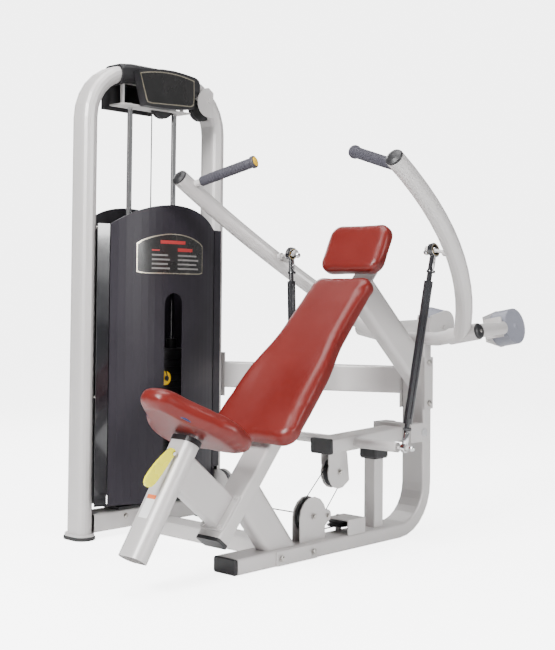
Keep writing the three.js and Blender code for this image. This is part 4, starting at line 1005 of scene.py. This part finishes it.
@dataclass
class SeatFittings:
    """The release lever's bracket, the blank sticker and the board under the seat."""

    lean: float = 32.0
    board: tuple[float, float] = (0.100, 0.088)

    def build(self) -> None:
        """Dress the seat."""
        self._sticker()
        self._bracket()
        self._board()

    def _on_sleeve(self, across: float, up: float, proud: float) -> Vector:
        """A point on the sleeve's front face, up from its top end."""
        lean = math.radians(self.lean)
        top = machine_point(0, -1123, 415)
        along = Vector((0, math.sin(lean), math.cos(lean)))
        out = Vector((0, -math.cos(lean), math.sin(lean)))
        return top + along * (up / 1000) + out * ((30 + proud) / 1000) + Vector((across / 1000, 0, 0))

    def _sticker(self) -> None:
        """A blank white sticker with an orange band at its top."""
        push = self._on_sleeve(0, 0, 1) - self._on_sleeve(0, 0, 0)
        for name, low, high, proud, paint in (("sleeve_sticker", -253, -181, 0.2, Paint.WHITE),
            ("sleeve_sticker_band", -194, -181, 0.7, Paint.ORANGE)):
            corners = [(-21, low), (17, low), (17, high), (-21, high)]
            points = [self._on_sleeve(across, up, proud) for across, up in corners]
            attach(prism(name, points, push * 0.5, paint, 0.0001), "frame")

    def _bracket(self) -> None:
        """The release lever's plunger boss, pin and nut."""
        pivot = joint("seat_release_pivot")
        at = Vector(pivot["pos_m"])
        lean = math.radians(self.lean)
        inward = Vector((0, math.cos(lean), -math.sin(lean)))
        boss = turned("plunger_boss", [(0, 0), (13, 0), (13, 10), (10, 13), (0, 13)],
            self._on_sleeve(-10, -49, -1), -inward, Paint.CHROME, 28)
        nut = turned("lever_pin_nut", [(0, 0), (7, 0), (7, 4), (5.4, 5.4), (0, 5.6)],
            at + Vector((0.0240, 0, 0)), Vector((1, 0, 0)), Paint.CHROME, 6)
        bar = turned("lever_catch_bar", [(0, 0), (3.6, 0), (4.2, 2), (4.2, 34), (3.6, 36), (0, 36)],
            self._on_sleeve(-4, -118, 7),
                     self._on_sleeve(0, 1, 0) - self._on_sleeve(0, 0, 0), Paint.CHROME, 16)
        clip = turned("lever_catch_nut", [(0, 0), (6.5, 0), (6.5, 6), (5, 8), (0, 8)],
            self._on_sleeve(-4, -76, 0), -inward, Paint.CHROME, 6)
        for piece in (boss, nut, bar, clip):
            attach(piece, "frame")


    def _board(self) -> None:
        """A dark board let into the seat pad's underside, standing just proud of it."""
        lean = math.radians(self.lean)
        along = Vector((0, math.cos(lean), -math.sin(lean)))
        up = Vector((0, math.sin(lean), math.cos(lean)))
        base = machine_point(0, -1123, 415) + up * 0.0305
        outline = []
        for k in range(28):
            turn = 2 * math.pi * k / 28
            round_x = math.copysign(abs(math.cos(turn)) ** 0.6, math.cos(turn)) * self.board[0]
            round_y = math.copysign(abs(math.sin(turn)) ** 0.6, math.sin(turn)) * self.board[1]
            outline.append(base + Vector((round_x, 0, 0)) + along * (round_y - 0.045))
        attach(prism("seat_board", outline, up * 0.007, Paint.NAVY, 0.001), "seat")


def dress_cad() -> None:
    """Give every carried-over node its finish."""
    for paint, nodes in CAD_FINISHES.items():
        for name in nodes:
            node = frame["nodes"][name]
            node.data.materials.clear()
            node.data.materials.append(paint.value.material())
            node.data.shade_smooth()
            node.data.set_sharp_from_angle(angle=math.radians(32))
            LOG.info("finish %s on %s", paint.value.name, name)


def main() -> None:
    """Build everything in order."""
    logging.basicConfig(level=logging.INFO, format="%(message)s")
    Studio().build()
    dress_cad()
    Cables().build()
    for part in (Upholstery(), WeightTower(), FrameBolts(), PressArms(), LinkRods(), SeatFittings()):
        part.build()
        LOG.info("built %s", type(part).__name__)


if __name__ == "__main__":
    main()
